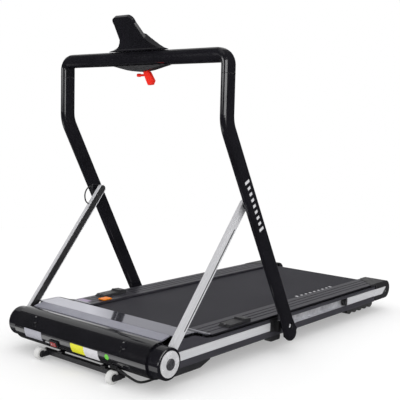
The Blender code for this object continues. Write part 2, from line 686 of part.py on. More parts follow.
def strut(finish, parent, place, side, label):
    """A flat bar with round ends, a hole at each end and a long groove in its outer face."""
    reach = hypot(ELBOW[0] - HINGE[0], ELBOW[1] - HINGE[1])
    lean = atan2(ELBOW[1] - HINGE[1], ELBOW[0] - HINGE[0])
    head = (HINGE[0] + reach, HINGE[1])
    outline = arc(HINGE, STRUT_HALF, 90, 270, 14) + arc(head, STRUT_HALF, -90, 90, 14)
    bar = prism(outline, "X", STRUT_IN, STRUT_OUT)
    groove = box((STRUT_OUT - 0.003, 0.100, HINGE[1] - 0.0080), (STRUT_OUT + 0.01, reach - 0.085, HINGE[1] - 0.0048))
    holes = [rod(end, PIN_RADIUS + GAP, STRUT_IN - 0.01, STRUT_OUT + 0.01) for end in (HINGE, head)]
    bar = turned_aside(cut(bar, groove, *holes), HINGE, lean)
    add("strut_" + label, bar, finish, parent, side, at=place, parent_at=(side * place[0], *place[1:]))


def upright_path():
    """Centre line of an upright, from just above its foot to the seam below the hoop."""
    lean = atan2(BEND[1] - FOOT[1], BEND[0] - FOOT[0])
    turn = lean - pi / 2
    tangent = BEND_RADIUS * sin(turn / 2) / cos(turn / 2)
    centre = (BEND[0] + BEND_RADIUS, BEND[1] + tangent)
    first = (FOOT[0] + 0.012 * cos(lean), FOOT[1] + 0.012 * sin(lean))
    points = [first] + arc(centre, BEND_RADIUS, 180 + turn * 180 / pi, 180, 8) + [(BEND[0], SEAM_Z)]
    return [Vector((BAR_HALF, y, z)) for y, z in points]


def foot_end():
    """The solid round end of the upright, with its hub, its sliding pin and a bolt head sunk in its outer face."""
    lean = atan2(BEND[1] - FOOT[1], BEND[0] - FOOT[0])
    half = TUBE_DEEP / 2 + 0.0002
    inner, outer = BAR_HALF - TUBE_WIDE / 2 - 0.0002, BAR_HALF + TUBE_WIDE / 2 + 0.0002
    bottom = (FOOT[0] - FOOT_REACH + half, FOOT[1])
    outline = arc(bottom, half, 90, 270, 16) + [(FOOT[0] + 0.018, FOOT[1] - half), (FOOT[0] + 0.018, FOOT[1] + half)]
    solid = prism(outline, "X", inner, outer)
    rims = [edge for edge in solid.edges if abs(edge.verts[0].co.x - edge.verts[1].co.x) < 0.001]
    bmesh.ops.bevel(solid, geom=rims, offset=TUBE_ROUND, segments=3, profile=0.5, affect="EDGES")
    foot = turned_aside(solid, FOOT, lean)
    hub = turned([(0.3208, 0.0), (0.3208, 0.0150), (inner + 0.001, 0.0150), (inner + 0.001, 0.0)], FOOT, 32)
    pin = rod(FOOT, 0.0042, 0.2832, inner + 0.001)
    recess = rod(FOOT, 0.0105, outer - 0.0100, outer + 0.01)
    head = turned([(outer - 0.0110, 0.0), (outer - 0.0110, 0.0080), (outer - 0.0070, 0.0080),
                   (outer - 0.0055, 0.0065), (outer - 0.0055, 0.0)], FOOT, 24)
    return joined(cut(foot, recess), hub, pin, head)


def upright(finish, parent, place, side, label):
    inside = BAR_HALF - TUBE_WIDE / 2
    tube = hollow_tube(upright_path(), (1.0, 0.0, 0.0), TUBE_WIDE, TUBE_DEEP)
    boss = turned([(STRUT_IN + 0.001, 0.0), (STRUT_IN + 0.001, PIN_RADIUS), (STRUT_OUT + GAP, PIN_RADIUS),
                   (STRUT_OUT + GAP, 0.0135), (inside + 0.001, 0.0135), (inside + 0.001, 0.0)], ELBOW, 32)
    add("upright_" + label, joined(tube, foot_end(), boss), finish, parent, side, parent_at=place)


def hoop_stations():
    """Matching points (x, z) on the inside and outside of the hoop's right half, with the corner radius there."""
    inside, outside = BAR_HALF - TUBE_WIDE / 2, BAR_HALF + TUBE_WIDE / 2
    low = SEAM_Z + GAP
    stations = [((inside, low), (outside, low), TUBE_ROUND)]
    tight = (inside - HOOP_INNER, BAR_Z - BAR_TALL / 2 - HOOP_INNER)
    wide = (outside - HOOP_OUTER, BAR_Z + BAR_TALL / 2 - HOOP_OUTER)
    near = arc(tight, HOOP_INNER, 0, 90, 8)
    far = arc(wide, HOOP_OUTER, 0, 90, 8)
    for k, pair in enumerate(zip(near, far)):
        stations.append((*pair, TUBE_ROUND + (BAR_ROUND - TUBE_ROUND) * k / 8))
    return stations


def hoop_ring(inside, outside, radius, wall):
    """A rounded ring that spans the hoop from its inside to its outside, one wall thickness in."""
    middle = ((inside[0] + outside[0]) / 2, (inside[1] + outside[1]) / 2)
    across = (outside[0] - inside[0], outside[1] - inside[1])
    tall = hypot(*across)
    section = rounded_section(TUBE_DEEP - 2 * wall, tall - 2 * wall, radius - wall)
    return [Vector((middle[0] + across[0] / tall * v, BEND[0] + u, middle[1] + across[1] / tall * v))
            for u, v in section]


def handlebar_hoop(finish, parent, place):
    """The crossbar with its two corners, which thin down to meet the uprights."""
    right = hoop_stations()
    left = [((-near[0], near[1]), (-far[0], far[1]), radius) for near, far, radius in right]
    skins = [[hoop_ring(*station, wall) for station in right + left[::-1]] for wall in (0.0, TUBE_WALL)]
    add("handlebar_hoop", skinned(*skins), finish, parent, parent_at=place)


def slide_roller(finish, parent, place, side, label):
    profile = [(0.2845, 0.0046), (0.2845, 0.0066), (0.2965, 0.0066), (0.2965, 0.0046)]
    at = (0.2905, *FOOT)
    add("slide_roller_" + label, turned(profile, FOOT, 24), finish, parent, side, at=at, parent_at=place)


def wiring_cable(finish, parent, place):
    points = [(-0.3270, 0.3040, 0.4990), (-0.3260, 0.2930, 0.5000), (-0.3235, 0.2790, 0.4950),
              (-0.3200, 0.2660, 0.4820), (-0.3165, 0.2605, 0.4665), (-0.3130, 0.2625, 0.4510),
              (-0.3110, 0.2716, 0.4425)]
    tube_along("wiring_cable", smooth_route(points, 4), 0.0024, finish, parent, 1, at=place, parent_at=place)


# ---------------------------------------------------------------- console

def stood_up(solid):
    """Stands a solid given as (x, height up the console, depth behind its back face) at the console's tilt."""
    up = Vector((0.0, -sin(DISPLAY_TILT), cos(DISPLAY_TILT)))
    out = Vector((0.0, cos(DISPLAY_TILT), sin(DISPLAY_TILT)))
    foot = Vector((0.0, *CONSOLE_BASE))
    for vert in solid.verts:
        x, height, depth = vert.co
        vert.co = foot + Vector((x, 0.0, 0.0)) + up * height + out * depth
    return solid


def on_console(outline, near, far):
    """Extrudes an outline in (x, height up the console) between two depths behind its back face."""
    return stood_up(prism(outline, "Z", near, far))


def console_outline():
    """The right half of the console from its base to its rounded top, and its mirror image."""
    flare = [(0.1250, -0.030), (0.1250, 0.0010), (0.1080, 0.0030), (0.0880, 0.0078), (0.0700, 0.0155),
             (0.0590, 0.0235), (0.0545, 0.0300)]
    side = flare + [(0.0420, 0.0930)] + arc((0.0230, 0.0996), 0.0190, 0, 80, 6)
    return side + [(-x, height) for x, height in reversed(side)]


def plinth_outline():
    """The console's thicker base: its flare, closed by a low arch."""
    arch = [(0.1250, -0.030), (0.1250, 0.0010), (0.1080, 0.0032), (0.0880, 0.0090), (0.0720, 0.0190),
            (0.0600, 0.0310), (0.0500, 0.0450), (0.0420, 0.0480)]
    return arch + [(-x, height) for x, height in reversed(arch)]


def wing_trim(side):
    """The wedge that thins one of the console's wings towards its tip."""
    line = [(side * x, depth) for x, depth in
            ((0.0600, 0.0190), (0.0760, 0.0168), (0.0920, 0.0118), (0.1080, 0.0058), (0.1270, 0.0010))]
    wedge = prism(line + [(side * 0.1270, 0.0300), (side * 0.0600, 0.0300)], "Y", -0.040, 0.034)
    return stood_up(wedge)


def console_body(finish, parent, place):
    body = on_console(console_outline(), 0.0, CONSOLE_THICK)
    body = joined(body, on_console(plinth_outline(), 0.0005, PLINTH_THICK))
    body = cut(body, wing_trim(-1), wing_trim(1))
    low = box((-0.2, 0.10, 0.88), (0.2, 0.30, CONSOLE_BASE[1]))
    window = on_console(rounded_section(0.062, 0.042, 0.004, 3), CONSOLE_THICK - 0.002, CONSOLE_THICK + 0.01)
    shift = Vector((0.0, -sin(DISPLAY_TILT), cos(DISPLAY_TILT))) * 0.090
    bmesh.ops.translate(window, vec=shift, verts=window.verts)
    pockets = [key_block(x, 0.0075, 0.0055, CONSOLE_THICK - 0.0045, CONSOLE_THICK + 0.01) for x in KEY_PLACES]
    add("console_body", cut(body, low, window, *pockets), finish, parent, parent_at=place)


KEY_PLACES = (-0.024, 0.0, 0.024)
KEY_HEIGHT = 0.0590


def key_block(x, wide, tall, near, far):
    outline = [(x - wide, KEY_HEIGHT - tall), (x + wide, KEY_HEIGHT - tall), (x + wide, KEY_HEIGHT + tall),
               (x - wide, KEY_HEIGHT + tall)]
    return on_console(outline, near, far)


def console_keys(finish, parent, place):
    for x, label in zip(KEY_PLACES, ("slower", "start", "faster")):
        key = key_block(x, 0.0070, 0.0050, CONSOLE_THICK - 0.0030, CONSOLE_THICK + 0.0015)
        middle = sum((vert.co for vert in key.verts), Vector()) / len(key.verts)
        add("key_" + label, key, finish, parent, at=middle, parent_at=place, smooth=False)


def display_lens(finish, parent, place):
    lens = on_console(rounded_section(0.0612, 0.0412, 0.0036, 3), CONSOLE_THICK - 0.0017, CONSOLE_THICK - 0.0003)
    shift = Vector((0.0, -sin(DISPLAY_TILT), cos(DISPLAY_TILT))) * 0.090
    bmesh.ops.translate(lens, vec=shift, verts=lens.verts)
    add("display_lens", lens, finish, parent, parent_at=place, smooth=False)


KEY_X = 0.028


def console_cowl(finish, parent, place):
    """The shallow bulge under the crossbar, with the safety key's socket."""
    top = BAR_Z - BAR_TALL / 2 - GAP
    outline = [(-0.116, top)]
    outline += [(x, top - 0.0185 * cos(x / 0.116 * pi / 2) ** 1.3) for x in
                (-0.106, -0.088, -0.066, -0.044, -0.022, 0.0, 0.022, 0.044, 0.066, 0.088, 0.106)]
    outline += [(0.116, top)]
    cowl = prism(outline, "Y", BEND[0] - 0.0145, BEND[0] + 0.0145)
    socket = box((KEY_X - 0.0085, BEND[0] - 0.0052, 0.870), (KEY_X + 0.0085, BEND[0] + 0.0052, 0.8945))
    add("console_cowl", cut(cowl, socket), finish, parent, parent_at=place)


def safety_key(finish, parent, place):
    """A flat key: a tongue in the socket, a slanted grip and a short side peg for its lanyard."""
    middle = BEND[0]
    tongue = box((KEY_X - 0.0075, middle - 0.0042, 0.8760), (KEY_X + 0.0075, middle + 0.0042, 0.8935))
    grip = prism([(KEY_X - 0.0120, 0.8780), (KEY_X - 0.0070, 0.8800), (KEY_X + 0.0090, 0.8800),
                  (KEY_X + 0.0130, 0.8760), (KEY_X + 0.0300, 0.8520), (KEY_X + 0.0235, 0.8400),
                  (KEY_X + 0.0090, 0.8385), (KEY_X - 0.0010, 0.8550)],
                 "Y", middle - 0.0060, middle + 0.0060)
    peg = turned([(KEY_X - 0.0400, 0.0), (KEY_X - 0.0400, 0.0052), (KEY_X - 0.0290, 0.0052), (KEY_X - 0.0260, 0.0036),
                  (KEY_X + 0.002, 0.0036), (KEY_X + 0.002, 0.0)], (middle, 0.8690), 12)
    at = (KEY_X, middle, 0.880)
    add("safety_key", joined(grip, tongue, peg), finish, parent, at=at, parent_at=place, smooth=False)


# ---------------------------------------------------------------- assembly

def build():
    clear_scene()
    gloss = paint("gloss_black", (0.012, 0.012, 0.015), 0.12)
    satin = paint("satin_black", (0.020, 0.020, 0.023), 0.35)
    silver = paint("silver_paint", (0.60, 0.60, 0.66), 0.18, 0.3)
    bright = paint("satin_aluminium", (0.78, 0.78, 0.80), 0.35, 0.9)
    grey = paint("dark_aluminium", (0.12, 0.115, 0.135), 0.45, 0.7)
    frame_black = paint("frame_black", (0.03, 0.03, 0.034), 0.4, 0.1)
    steel = paint("steel", (0.45, 0.45, 0.46), 0.35, 1.0)
    rubber = paint("black_rubber", (0.02, 0.02, 0.02), 0.85)
    belt = paint("belt_fabric", (0.045, 0.044, 0.055), 0.8)
    board = paint("deck_board", (0.20, 0.15, 0.10), 0.6)
    white = paint("white_plastic", (0.75, 0.75, 0.73), 0.4)
    red = paint("red_plastic", (0.75, 0.02, 0.01), 0.3)
    glass = paint("display_glass", (0.01, 0.012, 0.015), 0.05)

    base = axis_empty("treadmill", 0.0, HINGE_Y, 0.0)
    housing_shell(gloss, base)
    cover_strip(silver, base)
    motor_cover(silver, base)
    belly_pan(frame_black, base)
    drive_motor(steel, base)
    motor_pulley(steel, base)
    drive_belt(rubber, base)
    controller_box(satin, base)
    deck_board(board, base)
    running_belt(belt, base)
    front_roller(steel, base)
    rear_roller(steel, base)
    cross_member(frame_black, base, "front_cross_member", 0.200)
    cross_member(frame_black, base, "rear_cross_member", 1.080)
    rear_foot_beam(frame_black, base)
    wheel_axle_bar(satin, base)
    power_switch(satin, base)
    switch_rocker(red, base)
    power_inlet(satin, base)
    mains_lead(rubber, satin, base)
    for side, label in ((-1, "left"), (1, "right")):
        end_collar(gloss, base, side, label)
        end_disc(bright, base, side, label)
        side_frame(grey, base, side, label)
        foot_rail(grey, base, side, label)
        rear_end_cap(satin, base, side, label)
        front_trim(bright, base, side, label)
        rear_trim(bright, base, side, label)
        rear_foot(rubber, base, side, label)
        fold_lock(satin, base, side, label)
        frame_rest(satin, base, side, label)
        transport_wheel(white, base, side, label)
    hub = ((STRUT_IN + STRUT_OUT) / 2, *HINGE)
    for side, label in ((-1, "left"), (1, "right")):
        axis = axis_empty("strut_axis_" + label, side * hub[0], hub[1], hub[2], base)
        strut(bright, axis, hub, side, label)
        if side < 0:
            left_axis = axis
    elbow = (-hub[0], *ELBOW)
    frame = axis_empty("frame_axis", *elbow, left_axis, (-hub[0], *HINGE))
    for side, label in ((-1, "left"), (1, "right")):
        upright(gloss, frame, elbow, side, label)
        slide_roller(white, frame, elbow, side, label)
    handlebar_hoop(gloss, frame, elbow)
    wiring_cable(rubber, frame, elbow)
    console_body(gloss, frame, elbow)
    console_keys(satin, frame, elbow)
    display_lens(glass, frame, elbow)
    console_cowl(satin, frame, elbow)
    safety_key(red, frame, elbow)


build()
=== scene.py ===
"""Looks, small details, cord and studio for the folding treadmill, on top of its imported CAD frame.

Metres, +Z up.  Lengths along the machine are measured from the struts' hinge line, and place() turns them
into the CAD's own Y, which starts at the machine's middle.
"""

import json
from math import atan2, cos, hypot, pi, radians, sin

import bmesh
import bpy
from mathutils import Matrix, Vector


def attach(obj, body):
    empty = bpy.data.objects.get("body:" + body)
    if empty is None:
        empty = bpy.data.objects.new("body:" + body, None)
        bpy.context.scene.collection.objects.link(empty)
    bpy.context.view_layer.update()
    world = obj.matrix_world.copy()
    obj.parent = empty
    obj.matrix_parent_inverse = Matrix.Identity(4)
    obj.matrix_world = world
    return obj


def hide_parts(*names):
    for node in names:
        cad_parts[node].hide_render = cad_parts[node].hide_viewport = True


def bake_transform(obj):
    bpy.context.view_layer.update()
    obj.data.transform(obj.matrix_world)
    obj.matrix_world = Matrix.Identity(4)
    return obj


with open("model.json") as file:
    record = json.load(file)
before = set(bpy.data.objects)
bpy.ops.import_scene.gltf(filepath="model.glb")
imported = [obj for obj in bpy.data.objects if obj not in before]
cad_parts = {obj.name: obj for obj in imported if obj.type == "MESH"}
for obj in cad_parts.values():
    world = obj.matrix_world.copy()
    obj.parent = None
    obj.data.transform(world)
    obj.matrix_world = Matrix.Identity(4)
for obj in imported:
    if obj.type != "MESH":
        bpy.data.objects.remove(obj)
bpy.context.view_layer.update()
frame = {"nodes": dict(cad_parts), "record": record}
nodes = frame["nodes"]

# Driving dimensions, the same as the CAD's
HINGE_Y = -0.633
HINGE = (0.0, 0.0823)
ELBOW = (0.331, 0.491)
FOOT = (0.5505, 0.0865)
BEND = (0.2015, 0.7275)
BAR_Z = 0.9198
BAR_TALL = 0.0425
TUBE_WIDE = 0.020
TUBE_DEEP = 0.053
TUBE_ROUND = 0.0095
BAR_HALF = 0.340
DRUM_RADIUS = 0.052
SWITCH_X, SWITCH_REACH = -0.096, 0.0558
SWITCH_ANGLE, SWITCH_TIP = 203.6, 7.0
STRUT_IN, STRUT_OUT = 0.3045, 0.3165
STRUT_HALF = 0.014
STRUT_LEAN = atan2(ELBOW[1] - HINGE[1], ELBOW[0] - HINGE[0])
STRUT_REACH = hypot(ELBOW[0] - HINGE[0], ELBOW[1] - HINGE[1])
RAIL_TOP = 0.1186
TRACK_LOW, TRACK_HIGH = 0.0687, 0.0960
WHEEL_X, WHEEL_Y, WHEEL_RADIUS = 0.158, -0.052, 0.019
DISPLAY_TILT = radians(39.4)
CONSOLE_BASE = (0.187, BAR_Z + BAR_TALL / 2 + 0.0003)
CONSOLE_THICK = 0.0105
KEY_PLACES = (-0.024, 0.0, 0.024)
KEY_HEIGHT = 0.0590
CORD_RADIUS = 0.0035
COIL_CENTRE = (0.1485, 0.300)
COIL_MEAN = 0.039
PLUG_X = COIL_CENTRE[0] - COIL_MEAN - 2 * CORD_RADIUS
PLUG_FRONT, PLUG_BACK = COIL_CENTRE[1] - 0.084, COIL_CENTRE[1] - 0.048
SIDES = ((-1, "left"), (1, "right"))

# Points along the mains lead, as far as its coil, and along the wiring cable
CORD_ROUTE = [(0.1895, -0.0290, 0.0275), (0.1985, -0.0230, 0.0212), (0.2080, -0.0145, 0.0132),
              (0.2150, -0.0030, 0.0067), (0.2190, 0.0120, 0.0041), (0.2208, 0.0320, 0.0036),
              (0.2205, 0.0550, 0.0036), (0.2165, 0.0900, 0.0036), (0.2095, 0.1300, 0.0036),
              (0.2015, 0.1700, 0.0036), (0.1960, 0.2100, 0.0036), (0.1945, 0.2450, 0.0036),
              (0.1945, 0.2735, 0.0036)]
CABLE_ROUTE = [(-0.3270, 0.3040, 0.4990), (-0.3260, 0.2930, 0.5000), (-0.3235, 0.2790, 0.4950),
               (-0.3200, 0.2660, 0.4820), (-0.3165, 0.2605, 0.4665), (-0.3130, 0.2625, 0.4510),
               (-0.3110, 0.2716, 0.4425)]

# Sizes that only the looks and the small details have; the track's are distances from the middle plane
TRACK_INNER, TRACK_OUTER = 0.2795, 0.2998
BUTTON_RADIUS = 0.0166
CABLE_RADIUS = 0.0023
STICKER_GAP, STICKER_TOP = 0.00004, 0.00025
GRID_ANGLE = 32.0
DASHES = 9

# The groove under the cover's lip, by its distances from the middle plane, and the painted shade laid over
# the surfaces in it
GROOVE_INNER, GROOVE_OUTER = 0.2900, 0.2968
PAINTED_GROOVE_SHADE = (0.006, 0.006, 0.008)

# The camera: where it stands, its turns in degrees, and its lens and sensor in millimetres
CAMERA_SPOT = (1.6680, -2.1203, 0.7348)
CAMERA_AZIMUTH, CAMERA_PITCH, CAMERA_ROLL = 40.036, 5.892, 1.4255
LENS, SENSOR = 68.95, 36.0

# The floor is a disc of this radius and shade, with some brightness of its own
FLOOR_RADIUS, FLOOR_SHADE, FLOOR_GLOW = 2.6, 0.66, 0.33

# The white light that matt surfaces get, and the room that glossy ones mirror, from horizon to zenith
DIFFUSE_LIGHT = 1.02
ROOM_LOW, ROOM_HIGH = 0.04, 0.06

# The room's lights: each is (azimuth, elevation), width, height and brightness, with angles in degrees
# and azimuth measured from +Y towards +X
ROOM_LIGHTS = (
    ((-63.0, 10.0), 31.0, 20.0, 0.9),
    ((-71.0, 34.0), 33.0, 28.0, 0.45),
    ((-34.0, 24.0), 26.0, 46.0, 0.4),
    ((86.0, 16.0), 54.0, 32.0, 5.0),
    ((190.0, 9.0), 52.0, 14.0, 4.5),
    ((226.0, -29.0), 44.0, 18.0, 1.2),
)


def place(x, y, z):
    """A point whose y is measured from the struts' hinge line."""
    return Vector((x, y + HINGE_Y, z))


# ---------------------------------------------------------------- node building

class Graph:
    """A node tree with short calls for the few nodes that the looks here share."""

    def __init__(self, tree):
        self.tree = tree

    def node(self, kind, **settings):
        made = self.tree.nodes.new(kind)
        for key, value in settings.items():
            setattr(made, key, value)
        return made

    def feed(self, socket, value):
        if hasattr(value, "links"):
            self.tree.links.new(value, socket)
        else:
            socket.default_value = value

    def part(self, vector, index):
        """One of the three numbers of a vector."""
        split = self.node("ShaderNodeSeparateXYZ")
        self.feed(split.inputs[0], vector)
        return split.outputs[index]

    def dot(self, one, two):
        made = self.node("ShaderNodeVectorMath", operation="DOT_PRODUCT")
        self.feed(made.inputs[0], one)
        self.feed(made.inputs[1], two)
        return made.outputs["Value"]

    def math(self, operation, a, b=0.0):
        made = self.node("ShaderNodeMath", operation=operation)
        self.feed(made.inputs[0], a)
        self.feed(made.inputs[1], b)
        return made.outputs[0]

    def scaled(self, value, low, high, to_low=0.0, to_high=1.0):
        made = self.node("ShaderNodeMapRange", clamp=True)
        self.feed(made.inputs["Value"], value)
        made.inputs["From Min"].default_value = low
        made.inputs["From Max"].default_value = high
        made.inputs["To Min"].default_value = to_low
        made.inputs["To Max"].default_value = to_high
        return made.outputs["Result"]

    def blended(self, factor, one, two):
        """A number between one and two."""
        made = self.node("ShaderNodeMix")
        for name, value in (("Factor", factor), ("A", one), ("B", two)):
            self.feed(made.inputs[name], value)
        return made.outputs["Result"]


class Surface(Graph):
    """A Principled material whose patterns are laid out in the piece's own coordinates."""

    def __init__(self, name, roughness, metallic=0.0, coat=0.0, coat_roughness=0.03, sheen=0.0):
        self.material = bpy.data.materials.new(name)
        self.material.use_nodes = True
        super().__init__(self.material.node_tree)
        self.shader = self.tree.nodes["Principled BSDF"]
        self.shader.inputs["Roughness"].default_value = roughness
        self.shader.inputs["Metallic"].default_value = metallic
        self.shader.inputs["Coat Weight"].default_value = coat
        self.shader.inputs["Coat Roughness"].default_value = coat_roughness
        self.shader.inputs["Sheen Weight"].default_value = sheen
        self.relief = None
        self.place = self.node("ShaderNodeTexCoord").outputs["Object"]

    def mapped(self, scale, turn=(0.0, 0.0, 0.0)):
        """Object coordinates, stretched for grain that runs one way."""
        mapping = self.node("ShaderNodeMapping", vector_type="TEXTURE")
        self.feed(mapping.inputs["Vector"], self.place)
        mapping.inputs["Rotation"].default_value = turn
        mapping.inputs["Scale"].default_value = scale
        return mapping.outputs["Vector"]

    def noise(self, scale, detail=3.0, vector=None, rough=0.5):
        made = self.node("ShaderNodeTexNoise")
        self.feed(made.inputs["Vector"], vector or self.place)
        made.inputs["Scale"].default_value = scale
        made.inputs["Detail"].default_value = detail
        made.inputs["Roughness"].default_value = rough
        return made.outputs["Fac"]

    def flakes(self, scale):
        """Small cells, each with a colour of its own."""
        made = self.node("ShaderNodeTexVoronoi", feature="F1")
        self.feed(made.inputs["Vector"], self.place)
        made.inputs["Scale"].default_value = scale
        return made.outputs["Color"]

    def axis(self, index):
        return self.part(self.place, index)

    def mottled(self, value, low, high, start=0.3, end=0.7):
        """A colour that runs from low to high as a pattern's value goes from start to end."""
        made = self.node("ShaderNodeValToRGB")
        self.feed(made.inputs["Fac"], value)
        for point, where, colour in zip(made.color_ramp.elements, (start, end), (low, high)):
            point.position = where
            point.color = (*colour, 1.0)
        return made.outputs["Color"]

    def mixed(self, factor, one, two):
        made = self.node("ShaderNodeMix", data_type="RGBA")
        self.feed(made.inputs["Factor"], factor)
        for name, value in (("A", one), ("B", two)):
            socket = [item for item in made.inputs if item.name == name and item.type == "RGBA"][0]
            self.feed(socket, value if hasattr(value, "links") else (*value, 1.0))
        return [item for item in made.outputs if item.type == "RGBA"][0]

    def colour(self, value):
        self.feed(self.shader.inputs["Base Color"], value)

    def over(self, mask, colour):
        """Paints over the colour so far, where the mask is 1."""
        painted = self.shader.inputs["Base Color"].links[0].from_socket
        self.colour(self.mixed(mask, painted, colour))

    def roughness(self, value):
        self.feed(self.shader.inputs["Roughness"], value)

    def specular(self, level):
        self.shader.inputs["Specular IOR Level"].default_value = level

    def bump(self, value, depth, strength=1.0):
        """Adds a layer of relief, depth metres high."""
        made = self.node("ShaderNodeBump")
        made.inputs["Strength"].default_value = strength
        made.inputs["Distance"].default_value = depth
        self.feed(made.inputs["Height"], value)
        if self.relief is not None:
            self.feed(made.inputs["Normal"], self.relief)
        self.relief = made.outputs["Normal"]
        self.feed(self.shader.inputs["Normal"], self.relief)


# ---------------------------------------------------------------- camera and studio

def make_camera():
    """A camera in front of the machine and to its right, turned a little about its own axis."""
    azimuth, pitch, roll = radians(CAMERA_AZIMUTH), radians(CAMERA_PITCH), radians(CAMERA_ROLL)
    ahead = Vector((-sin(azimuth) * cos(pitch), cos(azimuth) * cos(pitch), -sin(pitch)))
    right = ahead.cross(Vector((0.0, 0.0, 1.0))).normalized()
    up = right.cross(ahead)
    turned_right = right * cos(roll) + up * sin(roll)
    turned_up = up * cos(roll) - right * sin(roll)
    lens = bpy.data.cameras.new("camera")
    lens.lens = LENS
    lens.sensor_width = SENSOR
    item = bpy.data.objects.new("camera", lens)
    bpy.context.scene.collection.objects.link(item)
    turn = Matrix((turned_right, turned_up, -ahead)).transposed().to_4x4()
    item.matrix_world = Matrix.Translation(CAMERA_SPOT) @ turn
    bpy.context.scene.camera = item


def area_light(name, spot, aim, size, power):
    """A soft square light at a spot, turned to its aim."""
    light = bpy.data.lights.new(name, "AREA")
    light.shape = "RECTANGLE"
    light.size, light.size_y = size, size
    light.energy = power
    item = bpy.data.objects.new(name, light)
    bpy.context.scene.collection.objects.link(item)
    item.location = spot
    item.rotation_euler = (Vector(aim) - Vector(spot)).to_track_quat("-Z", "Y").to_euler()


def panel(sky, direction, aim, wide, tall, bright):
    """A soft rectangular light on the room that glossy surfaces mirror, with aim = (azimuth, elevation)."""
    azimuth, elevation = radians(aim[0]), radians(aim[1])
    ahead = Vector((sin(azimuth) * cos(elevation), cos(azimuth) * cos(elevation), sin(elevation)))
    right = Vector((cos(azimuth), -sin(azimuth), 0.0))
    up = right.cross(ahead)
    inside = sky.scaled(sky.dot(direction, ahead), -0.05, 0.05)
    for axis, spread in ((right, wide), (up, tall)):
        reach = sin(radians(spread / 2))
        offset = sky.math("ABSOLUTE", sky.dot(direction, axis))
        inside = sky.math("MULTIPLY", inside, sky.scaled(offset, reach + 0.02, reach - 0.02))
    return sky.math("MULTIPLY", inside, bright)


def make_world():
    """White to the eye and for diffuse light, and a dark room with soft lights for what mirrors it."""
    world = bpy.data.worlds.new("studio")
    bpy.context.scene.world = world
    world.use_nodes = True
    sky = Graph(world.node_tree)
    ray = sky.node("ShaderNodeLightPath")
    direction = sky.node("ShaderNodeTexCoord").outputs["Generated"]
    room = sky.scaled(sky.part(direction, 2), -0.1, 1.0, ROOM_LOW, ROOM_HIGH)
    for light in ROOM_LIGHTS:
        room = sky.math("ADD", room, panel(sky, direction, *light))
    unseen = sky.blended(ray.outputs["Is Glossy Ray"], DIFFUSE_LIGHT, room)
    seen = sky.blended(ray.outputs["Is Camera Ray"], unseen, 1.0)
    shade = sky.tree.nodes["Background"]
    sky.feed(shade.inputs["Strength"], seen)
    shade.inputs["Color"].default_value = (1.0, 1.0, 1.0, 1.0)


def make_floor():
    """A round pale floor that glossy surfaces do not mirror."""
    look = bpy.data.materials.new("floor_finish")
    look.use_nodes = True
    shader = look.node_tree.nodes["Principled BSDF"]
    shader.inputs["Base Color"].default_value = (FLOOR_SHADE, FLOOR_SHADE, FLOOR_SHADE, 1.0)
    shader.inputs["Emission Color"].default_value = (1.0, 1.0, 1.0, 1.0)
    shader.inputs["Emission Strength"].default_value = FLOOR_GLOW
    shader.inputs["Roughness"].default_value = 0.9
    shader.inputs["Specular IOR Level"].default_value = 0.0
    mesh = bpy.data.meshes.new("floor")
    rim = [(x, y, -0.0005) for x, y in arc((0.0, 0.0), FLOOR_RADIUS, 0, 360, 96)[:-1]]
    mesh.from_pydata(rim, [], [tuple(range(len(rim)))])
    mesh.materials.append(look)
    item = bpy.data.objects.new("floor", mesh)
    item.visible_glossy = False
    bpy.context.scene.collection.objects.link(item)


def make_studio():
    bpy.context.scene.view_settings.view_transform = "Standard"
    make_camera()
    make_world()
    make_floor()
    area_light("overhead", (0.3, -0.2, 3.2), (0.0, 0.1, 0.0), 2.4, 7.0)
    area_light("front_right", (2.6, -2.2, 2.2), (0.0, 0.0, 0.4), 1.2, 5.0)


# ---------------------------------------------------------------- mains lead

def smooth_route(points, steps):
    """A Catmull-Rom curve through the points."""
    route = [Vector(point) for point in points]
    ends = [2 * route[0] - route[1]] + route + [2 * route[-1] - route[-2]]
    curve = []
    for k in range(1, len(ends) - 2):
        a, b, c, d = ends[k - 1:k + 3]
        for i in range(steps):
            t = i / steps
            curve.append(0.5 * (2 * b + (c - a) * t + (2 * a - 5 * b + 4 * c - d) * t * t
                                + (3 * b - a - 3 * c + d) * t ** 3))
    curve.append(route[-1])
    return curve


def coil_turns(turns=5.5, steps=28):
    """Turns that wind inwards on the floor, then climb and wind outwards on top of the first ones."""
    outer, pitch = COIL_MEAN + 2 * CORD_RADIUS, 2 * CORD_RADIUS
    low, high = CORD_RADIUS + 0.0001, 3 * CORD_RADIUS + 0.0002
    points = []
    for i in range(int(turns * steps) + 1):
        turn = i / steps
        inwards = min(turn, 2.0, max(5.0 - turn, 0.0))
        radius = outer - pitch * inwards
        climb = min(max((turn - 2.0) / 0.8, 0.0), 1.0)
        height = low + (high - low) * climb * climb * (3 - 2 * climb)
        angle = 2 * pi * turn
        x, y = COIL_CENTRE[0] + radius * cos(angle), COIL_CENTRE[1] + radius * sin(angle)
        points.append(place(x, y, height))
    return points


def mains_lead():
    """One lead, from the gland round the right wheel to the coil on the floor, and on into the plug."""
    route = [place(*point) for point in CORD_ROUTE]
    line = smooth_route(route, 2) + coil_turns()
    for back, height in ((0.012, 0.0108), (0.024, 0.0112), (0.031, 0.0115)):
        line.append(place(PLUG_X, COIL_CENTRE[1] - back, height))
    curve = bpy.data.curves.new("mains_lead", "CURVE")
    curve.dimensions = "3D"
    curve.bevel_depth = CORD_RADIUS
    curve.bevel_resolution = 3
    curve.use_fill_caps = True
    spline = curve.splines.new("POLY")
    spline.points.add(len(line) - 1)
    for point, spot in zip(spline.points, line):
        point.co = (*spot, 1.0)
    curve.materials.append(CORD)
    item = bpy.data.objects.new("mains_lead", curve)
    bpy.context.scene.collection.objects.link(item)
    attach(item, "chassis")
    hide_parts("mains_cord", "mains_coil")


# ---------------------------------------------------------------- materials

